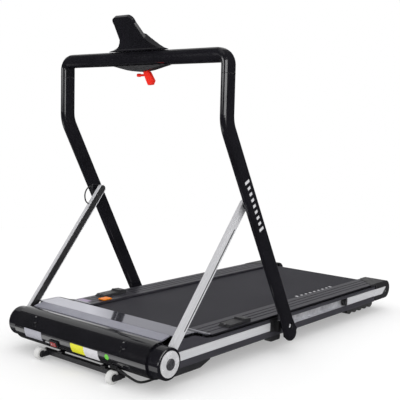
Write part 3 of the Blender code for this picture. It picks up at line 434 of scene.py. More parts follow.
def gloss_black(name="gloss_black_finish", tint=1.0, coat=0.1):
    """Gloss black paint with a faint orange-peel surface and a little dust."""
    look = Surface(name, 0.1, coat=coat, coat_roughness=0.12)
    dark = (0.0060 * tint, 0.0058 * tint, 0.0078 * tint)
    light = (0.0105 * tint, 0.0100 * tint, 0.0135 * tint)
    look.colour(look.mottled(look.noise(9.0, 4.0), dark, light, 0.3, 0.75))
    look.roughness(look.scaled(look.noise(34.0, 5.0), 0.3, 0.75, 0.09, 0.17))
    look.bump(look.noise(420.0, 2.0), 0.000012)
    return look.material


def satin_black(name="satin_black_finish", shade=0.017, rough=0.36):
    """Moulded plastic with a fine spark-eroded grain."""
    look = Surface(name, rough)
    low = (shade * 0.8, shade * 0.8, shade * 0.9)
    high = (shade * 1.35, shade * 1.33, shade * 1.5)
    look.colour(look.mottled(look.noise(22.0, 5.0), low, high))
    look.roughness(look.scaled(look.noise(60.0, 4.0), 0.3, 0.7, rough - 0.05, rough + 0.1))
    look.bump(look.noise(2600.0, 2.0), 0.00010, 0.7)
    return look.material


def groove_mask(look, near, far, low):
    """1 between two distances from the middle plane and above a height, and 0 elsewhere."""
    depth = look.math("ABSOLUTE", look.axis(0))
    short_of_far = look.scaled(depth, far + 0.0004, far)
    past_near = look.scaled(depth, near, near + 0.0004)
    above = look.scaled(look.axis(2), low, low + 0.0004)
    return look.math("MULTIPLY", look.math("MULTIPLY", short_of_far, past_near), above)


def silver_cover(name="silver_cover_finish", rough=0.07, metallic=0.9, tone=1.0):
    """Silver-grey paint with fine metallic flake, mirror-smooth unless it is made rougher, with painted
    shade in the groove under the cover's lip.
    """
    look = Surface(name, rough, metallic=metallic, coat=0.3, coat_roughness=rough * 0.3)
    low = (0.355 * tone, 0.355 * tone, 0.425 * tone)
    high = (0.405 * tone, 0.405 * tone, 0.480 * tone)
    soft = look.mottled(look.noise(5.0, 3.0), low, high)
    look.colour(look.mixed(0.04, soft, look.flakes(3600.0)))
    look.roughness(look.scaled(look.noise(40.0, 4.0), 0.3, 0.7, rough * 0.7, rough * 1.3))
    look.bump(look.noise(300.0, 2.0), 0.00001)
    # Painted shade: the cover's inner wall is painted dark in the groove under its lip
    look.over(groove_mask(look, GROOVE_INNER, 0.2938, 0.1000), PAINTED_GROOVE_SHADE)
    return look.material


def brushed(name, low, high, rough, lean=0.0, metallic=0.9):
    """Extruded aluminium with die lines along Y, or along a line that leans up from Y."""
    look = Surface(name, rough, metallic=metallic)
    lines = look.mapped((0.0008, 0.25, 0.0008), (lean, 0.0, 0.0))
    streak = look.noise(1.0, 4.0, lines, 0.6)
    cloud = look.noise(18.0, 4.0)
    fine = look.mottled(streak, low, high)
    look.colour(look.mixed(look.scaled(cloud, 0.35, 0.75, 0.0, 0.25), fine, low))
    look.roughness(look.scaled(streak, 0.3, 0.7, rough - 0.07, rough + 0.1))
    look.bump(streak, 0.00006, 0.6)
    return look


def bright_aluminium(name="bright_aluminium_finish", lean=0.0):
    """Pale satin aluminium."""
    return brushed(name, (0.68, 0.68, 0.705), (0.82, 0.82, 0.845), 0.38, lean, metallic=0.3).material


def dark_aluminium():
    """Dark anodised rail with extra fine ribs across its tread, unlit in the groove under its lip."""
    low, high = (0.060, 0.058, 0.072), (0.105, 0.102, 0.122)
    look = brushed("dark_aluminium_finish", low, high, 0.36, metallic=0.75)
    under_lip = look.scaled(look.axis(2), 0.1168, 0.1160)
    groove = groove_mask(look, GROOVE_INNER, GROOVE_OUTER, 0.1000)
    # Painted shade: the rail's side is painted dark in the groove under its lip
    look.over(look.math("MULTIPLY", groove, under_lip), PAINTED_GROOVE_SHADE)
    ribs = look.math("SINE", look.math("MULTIPLY", look.axis(0), 1250.0))
    look.bump(look.scaled(ribs, -1.0, 1.0), 0.00012, 0.6)
    return look.material


def side_frame_finish():
    """Dark anodised outside, bare bright metal inside the open track, and painted shade in the groove under
    the cover's lip.
    """
    low, high = (0.075, 0.073, 0.088), (0.12, 0.118, 0.138)
    look = brushed("side_frame_finish", low, high, 0.38, metallic=0.65)
    depth = look.math("ABSOLUTE", look.axis(0))
    height = look.axis(2)
    bare = look.math("MULTIPLY", look.scaled(depth, TRACK_OUTER, TRACK_OUTER - 0.0004),
                     look.scaled(depth, TRACK_INNER, TRACK_INNER + 0.0003))
    for edge, outwards in ((TRACK_LOW, -1), (TRACK_HIGH, 1)):
        within = look.scaled(height, edge + outwards * 0.0003, edge + outwards * 0.0001)
        bare = look.math("MULTIPLY", bare, within)
    look.over(bare, look.mottled(look.noise(45.0, 4.0), (0.55, 0.55, 0.58), (0.85, 0.85, 0.88)))
    # Painted shade: the frame's wall is painted dark in the groove under the cover's lip
    look.over(groove_mask(look, GROOVE_INNER, GROOVE_OUTER, 0.1068), PAINTED_GROOVE_SHADE)
    return look.material


def turned_steel():
    """Steel with fine lathe lines round X."""
    look = Surface("turned_steel_finish", 0.3, metallic=1.0)
    lines = look.noise(1.0, 3.0, look.mapped((0.0006, 0.4, 0.4)), 0.6)
    look.colour(look.mottled(lines, (0.360, 0.360, 0.3672), (0.500, 0.500, 0.510)))
    look.roughness(look.scaled(lines, 0.3, 0.7, 0.24, 0.4))
    look.bump(lines, 0.00003, 0.6)
    return look.material


def powder_coat():
    """Black powder paint with a fine sandy surface."""
    look = Surface("powder_coat_finish", 0.5)
    look.colour(look.mottled(look.noise(30.0, 4.0), (0.018, 0.018, 0.020), (0.030, 0.030, 0.033)))
    look.roughness(look.scaled(look.noise(90.0, 3.0), 0.3, 0.7, 0.42, 0.6))
    look.bump(look.noise(900.0, 3.0), 0.00025, 0.8)
    return look.material


def black_rubber(name="black_rubber_finish", shade=0.016):
    """Matt black rubber, or the soft jacket of a cord."""
    look = Surface(name, 0.75, sheen=0.1)
    light = (shade * 1.7, shade * 1.7, shade * 1.75)
    look.colour(look.mottled(look.noise(40.0, 5.0), (shade, shade, shade), light, 0.3, 0.75))
    look.roughness(look.scaled(look.noise(120.0, 4.0), 0.3, 0.7, 0.65, 0.88))
    look.bump(look.noise(1500.0, 3.0), 0.00018, 0.8)
    return look.material


def belt_fabric():
    """Walking belt: a charcoal top embossed with a fine diamond grid."""
    look = Surface("belt_fabric_finish", 0.62)
    look.specular(0.3)
    grid = []
    for turn in (radians(GRID_ANGLE), radians(-GRID_ANGLE)):
        line = look.node("ShaderNodeTexWave", wave_type="BANDS", bands_direction="Y", wave_profile="SIN")
        look.feed(line.inputs["Vector"], look.mapped((1.0, 1.0, 1.0), (0.0, 0.0, turn)))
        line.inputs["Scale"].default_value = 75.0
        line.inputs["Distortion"].default_value = 0.0
        grid.append(line.outputs["Fac"])
    weave = look.math("MULTIPLY", grid[0], grid[1])
    speck = look.noise(700.0, 3.0)
    soft = look.mottled(look.noise(7.0, 4.0), (0.022, 0.021, 0.029), (0.030, 0.029, 0.038))
    worn = look.mixed(look.scaled(speck, 0.45, 0.75, 0.0, 0.55), soft, (0.052, 0.050, 0.064))
    look.colour(look.mixed(look.scaled(weave, 0.1, 0.9, 0.0, 0.22), worn, (0.062, 0.060, 0.074)))
    look.roughness(look.scaled(speck, 0.3, 0.7, 0.52, 0.74))
    look.bump(weave, 0.00035, 0.8)
    look.bump(speck, 0.00015, 0.6)
    return look.material


def fibreboard():
    """Brown deck board with a long grain."""
    look = Surface("fibreboard_finish", 0.55)
    grain = look.noise(1.0, 5.0, look.mapped((0.004, 0.03, 0.004)))
    look.colour(look.mottled(grain, (0.20, 0.135, 0.085), (0.33, 0.24, 0.16)))
    look.bump(grain, 0.0001, 0.6)
    return look.material


def plastic(name, low, high, rough, coat=0.0):
    """Coloured moulded plastic with slight mottling and grain."""
    look = Surface(name, rough, coat=coat)
    look.specular(0.25)
    look.colour(look.mottled(look.noise(55.0, 4.0), low, high))
    look.roughness(look.scaled(look.noise(80.0, 3.0), 0.3, 0.7, rough - 0.05, rough + 0.08))
    look.bump(look.noise(1300.0, 2.0), 0.00006, 0.6)
    return look.material


def printed(name, colour, rough=0.32):
    """A blank sticker: faintly fibrous paper under a clear film."""
    look = Surface(name, rough, coat=0.1, coat_roughness=0.3)
    look.specular(0.2)
    light = tuple(min(1.0, part * 1.08) for part in colour)
    dark = tuple(part * 0.9 for part in colour)
    look.colour(look.mottled(look.noise(260.0, 4.0), dark, light))
    look.bump(look.noise(700.0, 3.0), 0.00004, 0.6)
    return look.material


def disc_finish():
    """Spun aluminium disc whose raised centre button is dark grey."""
    look = Surface("disc_finish", 0.3, metallic=0.3)
    height = look.math("SUBTRACT", look.axis(2), HINGE[1])
    length = look.math("SUBTRACT", look.axis(1), HINGE_Y)
    squares = [look.math("MULTIPLY", side, side) for side in (height, length)]
    radius = look.math("SQRT", look.math("ADD", *squares))
    spun = look.noise(1.0, 3.0, look.mapped((0.02, 0.02, 0.02)))
    rings = look.math("SINE", look.math("MULTIPLY", radius, 9000.0))
    face = look.mottled(spun, (0.72, 0.72, 0.74), (0.84, 0.84, 0.86))
    button = look.mottled(spun, (0.050, 0.050, 0.056), (0.075, 0.075, 0.083))
    beyond = look.scaled(radius, BUTTON_RADIUS - 0.0002, BUTTON_RADIUS + 0.0002)
    look.colour(look.mixed(beyond, button, face))
    look.roughness(look.scaled(spun, 0.3, 0.7, 0.2, 0.32))
    look.bump(look.scaled(rings, -1.0, 1.0), 0.00002, 0.5)
    return look.material


def smoked_glass():
    """Dark polished window over the display."""
    look = Surface("smoked_glass_finish", 0.05, coat=1.0, coat_roughness=0.02)
    look.colour(look.mottled(look.noise(20.0, 3.0), (0.006, 0.007, 0.009), (0.010, 0.011, 0.014)))
    look.roughness(look.scaled(look.noise(60.0, 3.0), 0.3, 0.7, 0.04, 0.09))
    return look.material


def lit_segments():
    """Red light from the display's bars."""
    look = Surface("segment_finish", 0.4)
    look.colour(look.mottled(look.noise(900.0, 2.0), (0.55, 0.12, 0.08), (0.70, 0.16, 0.10)))
    look.shader.inputs["Emission Color"].default_value = (1.0, 0.16, 0.08, 1.0)
    look.shader.inputs["Emission Strength"].default_value = 0.6
    return look.material


GLOSS = gloss_black()
GLOSS_PLASTIC = gloss_black("gloss_black_plastic_finish", 1.1)
SATIN = satin_black()
KEYS = satin_black("key_finish", 0.024, 0.5)
DULL = satin_black("dull_black_finish", 0.008, 0.6)
# A dark navy finish that paints the shade on the struts' inner faces
PAINTED_SHADE_NAVY = satin_black("navy_painted_shade_finish", 0.011, 0.4)
COVER = silver_cover()
BRIGHT = bright_aluminium()
STRUT_METAL = bright_aluminium("strut_finish", STRUT_LEAN)
RAIL = dark_aluminium()
STEEL = turned_steel()
POWDER = powder_coat()
RUBBER = black_rubber()
CORD = black_rubber("cord_finish", 0.014)
WHITE = plastic("white_nylon_finish", (0.66, 0.66, 0.65), (0.76, 0.76, 0.75), 0.38)
RED = plastic("red_plastic_finish", (0.82, 0.008, 0.001), (0.95, 0.018, 0.002), 0.4, coat=0.1)
PALE = printed("pale_marking_finish", (0.62, 0.62, 0.64))

CAD_LOOKS = {
    "gloss_black": GLOSS, "gloss_black_plastic": GLOSS_PLASTIC, "satin_black": SATIN, "key_black": KEYS,
    "silver_cover": COVER, "satin_aluminium": BRIGHT, "dark_aluminium": RAIL, "frame_steel": POWDER,
    "roller_steel": STEEL, "black_rubber": RUBBER, "belt_fabric": belt_fabric(), "deck_wood": fibreboard(),
    "white_plastic": WHITE, "red_plastic": RED, "display_glass": smoked_glass(),
}
DISC = disc_finish()
SIDE_FRAME = side_frame_finish()
SPECIAL_LOOKS = {
    "cover_strip": silver_cover("cover_strip_finish", 0.45, 0.15, 0.8),
    "housing_shell": gloss_black("drum_paint_finish", 0.9, 1.0),
    "console_body": gloss_black("console_finish", 1.2),
    "end_disc_left": DISC, "end_disc_right": DISC, "strut_left": STRUT_METAL, "strut_right": STRUT_METAL,
    "side_frame_left": SIDE_FRAME, "side_frame_right": SIDE_FRAME,
    "fold_lock_left": DULL, "fold_lock_right": DULL,
    # The rocker's red is real; its darkness is painted shade for the shadow it sits in
    "switch_rocker": plastic("rocker_red_painted_shade_finish", (0.26, 0.004, 0.004), (0.34, 0.006, 0.006), 0.3, coat=0.4),
}

# Edges sharper than this angle are softened, and these are the widths on the CAD nodes, in metres
SHARP = radians(32.0)
EDGES = {
    "console_body": 0.0012, "console_cowl": 0.0010, "safety_key": 0.0018, "motor_cover": 0.0010,
    "cover_strip": 0.0006, "rear_end_cap": 0.0016, "frame_rest": 0.0016, "fold_lock": 0.0012,
    "rear_foot": 0.0012, "power_switch": 0.0010, "switch_rocker": 0.0008, "key": 0.0007, "foot_rail": 0.0005,
    "side_frame": 0.0005, "front_trim": 0.0004, "rear_trim": 0.0004, "strut": 0.0008,
    "wheel_axle_bar": 0.0010, "belly_pan": 0.0008, "housing_shell": 0.0006, "power_inlet": 0.0006,
    "transport_wheel": 0.0008,
}


def dress_cad_nodes():
    """Gives each CAD node its material, softened edges and smooth shading."""
    slots = {item["node"]: item["material_slot"] for item in frame["record"]["subparts"]}
    for name, item in nodes.items():
        item.data.materials.clear()
        item.data.materials.append(SPECIAL_LOOKS.get(name, CAD_LOOKS[slots[name]]))
        item.data.shade_smooth()
        item.data.set_sharp_from_angle(angle=SHARP)
        width = [size for start, size in EDGES.items() if name.startswith(start)]
        if width:
            soften(item, width[0])


def soften(item, width):
    """Rounds off the edges sharper than SHARP."""
    edge = item.modifiers.new("soft_edges", "BEVEL")
    edge.width = width
    edge.segments = 2
    edge.limit_method = "ANGLE"
    edge.angle_limit = SHARP
    edge.harden_normals = True


# ---------------------------------------------------------------- shared modelling steps

def piece(name, solid, finish, body, edge=0.0):
    """Turns a solid into a shown piece that rides on a CAD body, unless body is None."""
    bmesh.ops.remove_doubles(solid, verts=solid.verts, dist=0.000005)
    bmesh.ops.recalc_face_normals(solid, faces=solid.faces)
    mesh = bpy.data.meshes.new(name)
    solid.to_mesh(mesh)
    solid.free()
    mesh.materials.append(finish)
    mesh.shade_smooth()
    mesh.set_sharp_from_angle(angle=radians(35.0))
    item = bpy.data.objects.new(name, mesh)
    bpy.context.scene.collection.objects.link(item)
    if edge:
        soften(item, edge)
    if body:
        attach(item, body)
    return item


def prism(outline, axis, start, end):
    """Extrudes an outline along X, Y or Z.  Its points are the two other coordinates, in order."""
    solid = bmesh.new()
    caps = []
    for depth in (start, end):
        ring = []
        for a, b in outline:
            spot = {"X": (depth, a, b), "Y": (a, depth, b), "Z": (a, b, depth)}[axis]
            ring.append(solid.verts.new(spot))
        caps.append(ring)
        solid.faces.new(ring)
    count = len(outline)
    for i in range(count):
        j = (i + 1) % count
        solid.faces.new((caps[0][i], caps[0][j], caps[1][j], caps[1][i]))
    return solid


def block(low, high):
    """A box between two corners."""
    corners = [(low[0], low[1]), (high[0], low[1]), (high[0], high[1]), (low[0], high[1])]
    return prism(corners, "Z", low[2], high[2])


def circle(radius, steps):
    """Points (x, y) round a circle about the origin."""
    return [(radius * cos(2 * pi * i / steps), radius * sin(2 * pi * i / steps)) for i in range(steps)]


def arc(centre, radius, start, end, steps):
    """Points on an arc, with angles in degrees."""
    points = []
    for i in range(steps + 1):
        angle = radians(start + (end - start) * i / steps)
        points.append((centre[0] + radius * cos(angle), centre[1] + radius * sin(angle)))
    return points


def rounded(centre, wide, tall, radius, steps=5):
    """A rounded rectangle."""
    points = []
    for x, y, start in ((1, 1, 0), (-1, 1, 90), (-1, -1, 180), (1, -1, 270)):
        corner = (centre[0] + x * (wide / 2 - radius), centre[1] + y * (tall / 2 - radius))
        points += arc(corner, radius, start, start + 90, steps)
    return points


def lathe(profile, steps=40):
    """Spins (height, radius) points round Z.  Zero radius closes an end."""
    solid = bmesh.new()
    rings = []
    for height, radius in profile:
        if radius == 0.0:
            rings.append([solid.verts.new((0.0, 0.0, height))] * steps)
            continue
        rings.append([solid.verts.new((x, y, height)) for x, y in circle(radius, steps)])
    closed = profile[0][1] > 0.0
    for k in range(len(rings) if closed else len(rings) - 1):
        one, two = rings[k], rings[(k + 1) % len(rings)]
        for i in range(steps):
            j = (i + 1) % steps
            corners = []
            for vert in (one[i], one[j], two[j], two[i]):
                if vert not in corners:
                    corners.append(vert)
            solid.faces.new(corners)
    return solid


def stand(solid, spot, outward, turn=0.0):
    """Moves a solid built on the XY plane so that its +Z points outward from spot."""
    aim = Vector((0.0, 0.0, 1.0)).rotation_difference(Vector(outward).normalized()).to_matrix().to_4x4()
    solid.transform(Matrix.Translation(Vector(spot)) @ aim @ Matrix.Rotation(turn, 4, "Z"))
    return solid


def merged(*solids):
    """One mesh of several solids, which stay separate shells."""
    whole = bmesh.new()
    for solid in solids:
        mesh = bpy.data.meshes.new("part")
        solid.to_mesh(mesh)
        solid.free()
        whole.from_mesh(mesh)
        bpy.data.meshes.remove(mesh)
    return whole


def add_screw(name, spot, outward, radius, body, finish=STEEL):
    """A domed screw head with a dark cross of painted shade that stands for its recess."""
    height, turn = 0.0012, 0.4
    head = lathe([(-0.0004, 0.0), (-0.0004, radius), (height * 0.4, radius), (height * 0.8, radius * 0.8),
                  (height, radius * 0.45), (height, 0.0)], 24)
    long, thin, low, high = radius * 0.62, radius * 0.11, height * 0.7, height * 1.02
    bars = [block((-wide, -deep, low), (wide, deep, high)) for wide, deep in ((long, thin), (thin, long))]
    cross = merged(*bars)
    piece(name, stand(head, spot, outward, turn), finish, body)
    # Painted shade: a dark cross stands for the shade in the recess, which is not cut
    piece(name + "_recess", stand(cross, spot, outward, turn), DULL, body)


# ---------------------------------------------------------------- drum and motor cover

def drum_point(x, angle, lift=0.0):
    """A point on the drum's front, angle degrees below the middle."""
    radius = DRUM_RADIUS + lift
    return place(x, -radius * cos(radians(angle)), HINGE[1] - radius * sin(radians(angle)))


def drum_outward(angle):
    """The direction straight out of the drum there."""
    return Vector((0.0, -cos(radians(angle)), -sin(radians(angle))))


def drum_patch(name, x_low, x_high, high, low, finish):
    """A thin sticker that wraps the drum between two angles."""
    steps = 12
    outline = []
    for lift, order in ((STICKER_TOP, range(steps + 1)), (STICKER_GAP, range(steps, -1, -1))):
        for i in order:
            spot = drum_point(0.0, high + (low - high) * i / steps, lift)
            outline.append((spot.y, spot.z))
    piece(name, prism(outline, "X", x_low, x_high), finish, "chassis")


def round_sticker(name, x, angle, radius, finish):
    """A round sticker that follows the drum's curve."""
    steps = 28
    solid = bmesh.new()
    rings = []
    for lift in (STICKER_GAP, STICKER_TOP + 0.00003):
        ring = []
        for across, down in circle(radius, steps):
            turned = angle + down / DRUM_RADIUS * 180.0 / pi
            ring.append(solid.verts.new(drum_point(x + across, turned, lift)))
        centre = solid.verts.new(drum_point(x, angle, lift))
        for i in range(steps):
            solid.faces.new((ring[i], ring[(i + 1) % steps], centre))
        rings.append(ring)
    for i in range(steps):
        j = (i + 1) % steps
        solid.faces.new((rings[0][i], rings[0][j], rings[1][j], rings[1][i]))
    piece(name, solid, finish, "chassis")


def drum_markings():
    """Blank stickers on the drum, and the pale line under the switch."""
    plate = printed("plate_finish", (0.42, 0.42, 0.47), 0.25)
    yellow = printed("yellow_finish", (0.80, 0.78, 0.03))
    white = printed("white_sticker_finish", (0.70, 0.69, 0.72))
    green = printed("green_finish", (0.16, 0.62, 0.06))
    drum_patch("rating_plate", -0.238, -0.156, -1.9, 31.7, plate)
    drum_patch("yellow_sticker", -0.021, 0.036, 2.5, 36.0, yellow)
    drum_patch("white_sticker", 0.0365, 0.097, 2.5, 40.0, white)
    round_sticker("green_sticker", 0.1340, 12.6, 0.0085, green)
    drum_patch("switch_surround", -0.142, -0.112, 27.0, 31.0, PALE)


def drum_fixings():
    """A plug and a small screw near each end of the drum, above its middle."""
    plug_angle, screw_angle = -38.7, -18.0
    profile = [(-0.0006, 0.0), (-0.0006, 0.0125), (0.0008, 0.0125), (0.0012, 0.0117), (0.0004, 0.0105),
               (-0.0002, 0.0094), (0.0007, 0.0062), (0.0010, 0.0)]
    for side, label in SIDES:
        plug = stand(lathe(profile, 36), drum_point(side * 0.193, plug_angle), drum_outward(plug_angle))
        piece("drum_plug_" + label, plug, GLOSS_PLASTIC, "chassis")
        spot = drum_point(side * 0.1855, screw_angle)
        add_screw("drum_screw_" + label, spot, drum_outward(screw_angle), 0.0034, "chassis", DULL)


def switch_marks():
    """The line and the ring on the rocker switch."""
    pivot, tilt = radians(SWITCH_ANGLE), radians(SWITCH_ANGLE - SWITCH_TIP)
    axis = place(SWITCH_X, SWITCH_REACH * cos(pivot), HINGE[1] + SWITCH_REACH * sin(pivot))
    face = Vector((0.0, cos(tilt), sin(tilt)))
    spot = axis + face * 0.0032
    aside = Vector((0.0055, 0.0, 0.0))
    ring = lathe([(0.0, 0.0014), (0.0, 0.0021), (0.0002, 0.0021), (0.0002, 0.0014)], 24)
    bar = block((-0.0018, -0.0004, 0.0), (0.0018, 0.0004, 0.0002))
    piece("switch_ring", stand(ring, spot - aside, face), PALE, "power_rocker")
    piece("switch_bar", stand(bar, spot + aside, face, radians(90.0)), PALE, "power_rocker")


# ---------------------------------------------------------------- plug and wiring cable

def mains_plug():
    """The plug where it lies: a rounded body with grip ribs, two round pins and a tapered strain relief."""
    case = block(place(PLUG_X - 0.0175, PLUG_FRONT, 0.0006), place(PLUG_X + 0.0175, PLUG_BACK, 0.0254))
    ribs = []
    for side in (-1, 1):
        middle = PLUG_X + side * 0.0172
        for step in range(5):
            near = PLUG_FRONT + 0.010 + step * 0.0045
            low = place(middle - 0.0006, near, 0.0050)
            ribs.append(block(low, low + Vector((0.0012, 0.0024, 0.0160))))
    body = piece("plug_body", merged(case, *ribs), CORD, "chassis", 0.0011)
    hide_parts("mains_plug")
    taper = [(0.0, 0.0036), (0.0, 0.0088), (0.0030, 0.0088)]
    for step in range(6):
        start, radius = 0.0045 + 0.0042 * step, 0.0080 - 0.0006 * step
        taper += [(start, radius - 0.0012), (start + 0.0012, radius - 0.0012), (start + 0.0014, radius),
                  (start + 0.0040, radius)]
    taper += [(0.0290, 0.0048), (0.0300, 0.0036)]
    relief = stand(lathe(taper, 28), place(PLUG_X, PLUG_BACK - 0.0004, 0.0115), (0, 1, 0))
    piece("plug_relief", relief, CORD, "chassis")
    profile = [(0.0, 0.0), (0.0, 0.0024), (0.0170, 0.0024), (0.0182, 0.0017), (0.0185, 0.0)]
    pins = []
    for side in (-1, 1):
        spot = place(PLUG_X + side * 0.0095, PLUG_FRONT + 0.0010, 0.0130)
        pins.append(stand(lathe(profile, 20), spot, (0, -1, 0)))
    piece("plug_pins", merged(*pins), STEEL, "chassis")


def wiring_cable():
    """The thin cable that loops from the left upright to the left strut."""
    path = smooth_route([place(*point) for point in CABLE_ROUTE], 6)
    steps = 12
    solid = bmesh.new()
    rings = []
    across = Vector((0.0, 0.0, 1.0))
    for k, point in enumerate(path):
        ahead = (path[min(k + 1, len(path) - 1)] - path[max(k - 1, 0)]).normalized()
        across = (across - ahead * across.dot(ahead)).normalized()
        beside = ahead.cross(across)
        rim = [point + across * a + beside * b for a, b in circle(CABLE_RADIUS, steps)]
        rings.append([solid.verts.new(spot) for spot in rim])
    for one, two in zip(rings, rings[1:]):
        for i in range(steps):
            j = (i + 1) % steps
            solid.faces.new((one[i], one[j], two[j], two[i]))
    for ring in (rings[0], rings[-1]):
        solid.faces.new(ring)
    item = piece("wiring_loop", solid, CORD, None)
    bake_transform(item)
    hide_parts("wiring_cable")


# ---------------------------------------------------------------- wheels, rails and frame

def wheel_hubs():
    """A black hub through each white wheel."""
    profile = [(-0.0060, 0.0032), (-0.0060, 0.0108), (0.0004, 0.0108), (0.0008, 0.0100), (0.0008, 0.0032)]
    for side, label in SIDES:
        for face, end in ((-1, "inner"), (1, "outer")):
            spot = place(side * (WHEEL_X + face * 0.0100), WHEEL_Y, WHEEL_RADIUS)
            hub = stand(lathe(profile, 32), spot, (side * face, 0.0, 0.0))
            piece("wheel_hub_" + label + "_" + end, hub, DULL, label + "_wheel")


def track_stops():
    """The block that ends each open track, and the pad under each side frame."""
    outline = rounded((0.545 + HINGE_Y, 0.0385), 0.056, 0.020, 0.008)
    outline = [(y, max(z, 0.0290)) for y, z in outline]
    for side, label in SIDES:
        low, high = sorted((side * 0.2815, side * 0.3004))
        stop = block(place(low, 0.993, TRACK_LOW + 0.0004), place(high, 1.0026, TRACK_HIGH - 0.0004))
        piece("track_stop_" + label, stop, DULL, "chassis", 0.0012)
        low, high = sorted((side * 0.2700, side * 0.2960))
        piece("frame_pad_" + label, prism(outline, "X", low, high), SATIN, "chassis", 0.0015)


def rail_markings():
    """A blank sticker and an orange tag on the left foot rail, and screws in the rests and the end caps."""
    lilac = printed("lilac_finish", (0.40, 0.33, 0.46), 0.6)
    orange = printed("orange_finish", (1.0, 0.25, 0.003))
    label_block = block(place(-0.294, 0.190, RAIL_TOP - 0.0002), place(-0.246, 0.235, RAIL_TOP + 0.0002))
    piece("rail_sticker_white", label_block, lilac, "chassis")
    tag_block = block(place(-0.246, 0.262, RAIL_TOP - 0.0002), place(-0.216, 0.300, RAIL_TOP + 0.0052))
    piece("rail_tag_orange", tag_block, orange, "chassis", 0.0024)
    upwards = (0.0, 0.0, 1.0)
    for side, label in SIDES:
        spot = place(side * 0.3036, 1.3020, 0.0765)
        add_screw("cap_screw_" + label, spot, (side, 0.0, 0.0), 0.0030, "chassis")
        for y, height, end in ((0.300, 0.1262, "front"), (0.397, 0.1306, "rear")):
            spot = place(side * 0.276, y, height)
            add_screw("rest_screw_" + label + "_" + end, spot, upwards, 0.0032, "chassis")


# ---------------------------------------------------------------- struts and uprights

def on_strut(along, across):
    """A point (y, z) along the strut from its hinge, and across it towards its upper edge."""
    return (HINGE[0] + along * cos(STRUT_LEAN) - across * sin(STRUT_LEAN),
            HINGE[1] + along * sin(STRUT_LEAN) + across * cos(STRUT_LEAN))


def strut_inserts():
    """A dark navy sheet of painted shade that nearly fills each strut's inner face, and a dark fill of
    painted shade in the slot in its outer face.
    """
    half = STRUT_HALF - 0.0026
    cover = arc((0.0450, 0.0), half, 90, 270, 10) + arc((STRUT_REACH + 0.0015, 0.0), half, -90, 90, 14)
    end = STRUT_REACH - 0.0860
    slot = [(0.1010, -0.0086), (end, -0.0086), (end, -0.0046), (0.1010, -0.0046)]
    for side, label in SIDES:
        body = label + "_strut"
        # Both pieces are painted shade: the sheet darkens the inner face and the fill darkens the slot
        for name, flat, near, far, finish in (("cover", cover, STRUT_IN - 0.00015, STRUT_IN + 0.001, PAINTED_SHADE_NAVY),
                                              ("slot", slot, STRUT_OUT - 0.0025, STRUT_OUT + 0.0002, DULL)):
            outline = [(y + HINGE_Y, z) for y, z in (on_strut(along, across) for along, across in flat)]
            low, high = sorted((side * near, side * far))
            solid = prism(outline, "X", low, high)
            piece("strut_" + name + "_" + label, solid, finish, body, 0.0003)


def foot_bolts():
    """The bright bolt sunk in each upright's foot."""
    outer = BAR_HALF + TUBE_WIDE / 2 + 0.0002
    profile = [(-0.0004, 0.0), (-0.0004, 0.0066), (0.0009, 0.0066), (0.0016, 0.0054), (0.0016, 0.0030),
               (0.0004, 0.0026), (0.0004, 0.0)]
    for side, label in SIDES:
        head = stand(lathe(profile, 28), place(side * (outer - 0.0055), *FOOT), (side, 0.0, 0.0))
        piece("foot_bolt_" + label, head, BRIGHT, "handlebar_frame")


def upright_dashes():
    """A row of short pale dashes along the outer face of the right upright, with longer ones at its ends."""
    lean = atan2(BEND[1] - FOOT[1], BEND[0] - FOOT[0])
    outer = BAR_HALF + TUBE_WIDE / 2
    dashes = []
    for step in range(DASHES):
        tall = 0.0105 if step in (0, DASHES - 1) else 0.0065
        along = 0.3770 + 0.0205 * step
        outline = []
        for a, b in ((-0.0045, -tall), (0.0045, -tall), (0.0045, tall), (-0.0045, tall)):
            y = FOOT[0] + (along + a) * cos(lean) - b * sin(lean)
            outline.append((y + HINGE_Y, FOOT[1] + (along + a) * sin(lean) + b * cos(lean)))
        dashes.append(prism(outline, "X", outer - 0.0004, outer + 0.0002))
    piece("upright_dashes", merged(*dashes), PALE, "handlebar_frame")


def belt_dashes():
    """The same dashes printed along the right edge of the walking belt."""
    dashes = []
    for step in range(DASHES):
        wide = 0.0090 if step in (0, DASHES - 1) else 0.0055
        y = 0.830 + 0.0290 * step
        low, high = place(0.1900 - wide, y, 0.1100), place(0.1900 + wide, y + 0.0110, 0.1107)
        dashes.append(block(low, high))
    piece("belt_dashes", merged(*dashes), PALE, "chassis")


def seam_rings():
    """A dull rubber ring in the seam where the hoop plugs into each upright."""
    wide, deep, radius = TUBE_WIDE + 0.0006, TUBE_DEEP + 0.0006, TUBE_ROUND + 0.0003
    for side, label in SIDES:
        outline = rounded((side * BAR_HALF, BEND[0] + HINGE_Y), wide, deep, radius)
        ring = prism(outline, "Z", 0.8675, 0.8688)
        piece("seam_ring_" + label, ring, DULL, "handlebar_frame", 0.0002)


# ---------------------------------------------------------------- console

def on_console(solid, height, depth):
    """Stands a solid built on the XY plane on the console's face, height up from its base."""
    up = Vector((0.0, -sin(DISPLAY_TILT), cos(DISPLAY_TILT)))
    out = Vector((0.0, cos(DISPLAY_TILT), sin(DISPLAY_TILT)))
    foot = place(0.0, *CONSOLE_BASE) + up * height + out * depth
    right = up.cross(out)
    matrix = Matrix((right, up, out)).transposed().to_4x4()
    solid.transform(Matrix.Translation(foot) @ matrix)
    return solid


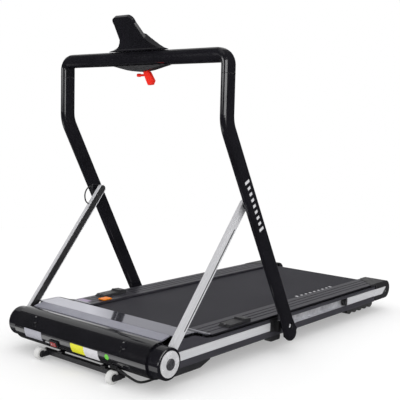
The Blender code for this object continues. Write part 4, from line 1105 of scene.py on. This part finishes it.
# The lit bars of a zero: each one's middle, in widths and half heights, and whether it stands upright
SEGMENTS = ((0.0, 1.0, False), (0.5, 0.5, True), (0.5, -0.5, True),
            (0.0, -1.0, False), (-0.5, -0.5, True), (-0.5, 0.5, True))
DIGIT_WIDE, DIGIT_TALL = 0.0085, 0.018


def zero(x):
    """The bars of a seven-segment zero."""
    bars = []
    thick = DIGIT_WIDE * 0.16
    for across, rise, upright in SEGMENTS:
        centre = (x + across * DIGIT_WIDE, rise * DIGIT_TALL / 2)
        half = (thick / 2, DIGIT_TALL / 2 * 0.40) if upright else (DIGIT_WIDE / 2 * 0.72, thick / 2)
        bars.append(block((centre[0] - half[0], centre[1] - half[1], -0.0004),
                          (centre[0] + half[0], centre[1] + half[1], 0.0002)))
    return bars


def display_digits():
    """Three zeros on the display, with a colon after the first."""
    bars = []
    for x in (-0.016, 0.001, 0.016):
        bars += zero(x)
    for y in (-0.003, 0.003):
        bars.append(block((-0.0083, y - 0.0008, -0.0004), (-0.0067, y + 0.0008, 0.0002)))
    shown = on_console(merged(*bars), 0.090, CONSOLE_THICK - 0.0002)
    piece("display_digits", shown, lit_segments(), "handlebar_frame")


def key_marks():
    """A minus, a start triangle and a plus on the three keys."""
    lift = CONSOLE_THICK + 0.0015
    minus = block((-0.0026, -0.0005, -0.0003), (0.0026, 0.0005, 0.0002))
    plus = merged(block((-0.0026, -0.0005, -0.0003), (0.0026, 0.0005, 0.0002)),
                  block((-0.0005, -0.0026, -0.0003), (0.0005, 0.0026, 0.0002)))
    start = prism([(-0.0018, -0.0024), (0.0026, 0.0), (-0.0018, 0.0024)], "Z", -0.0003, 0.0002)
    for label, mark, x in zip(("slower", "start", "faster"), (minus, start, plus), KEY_PLACES):
        bmesh.ops.translate(mark, vec=(x, 0.0, 0.0), verts=mark.verts)
        piece("key_mark_" + label, on_console(mark, KEY_HEIGHT, lift), PALE, label + "_button")


make_studio()
mains_plug()
mains_lead()
dress_cad_nodes()
drum_markings()
drum_fixings()
switch_marks()
wiring_cable()
wheel_hubs()
track_stops()
rail_markings()
strut_inserts()
foot_bolts()
upright_dashes()
belt_dashes()
seam_rings()
display_digits()
key_marks()
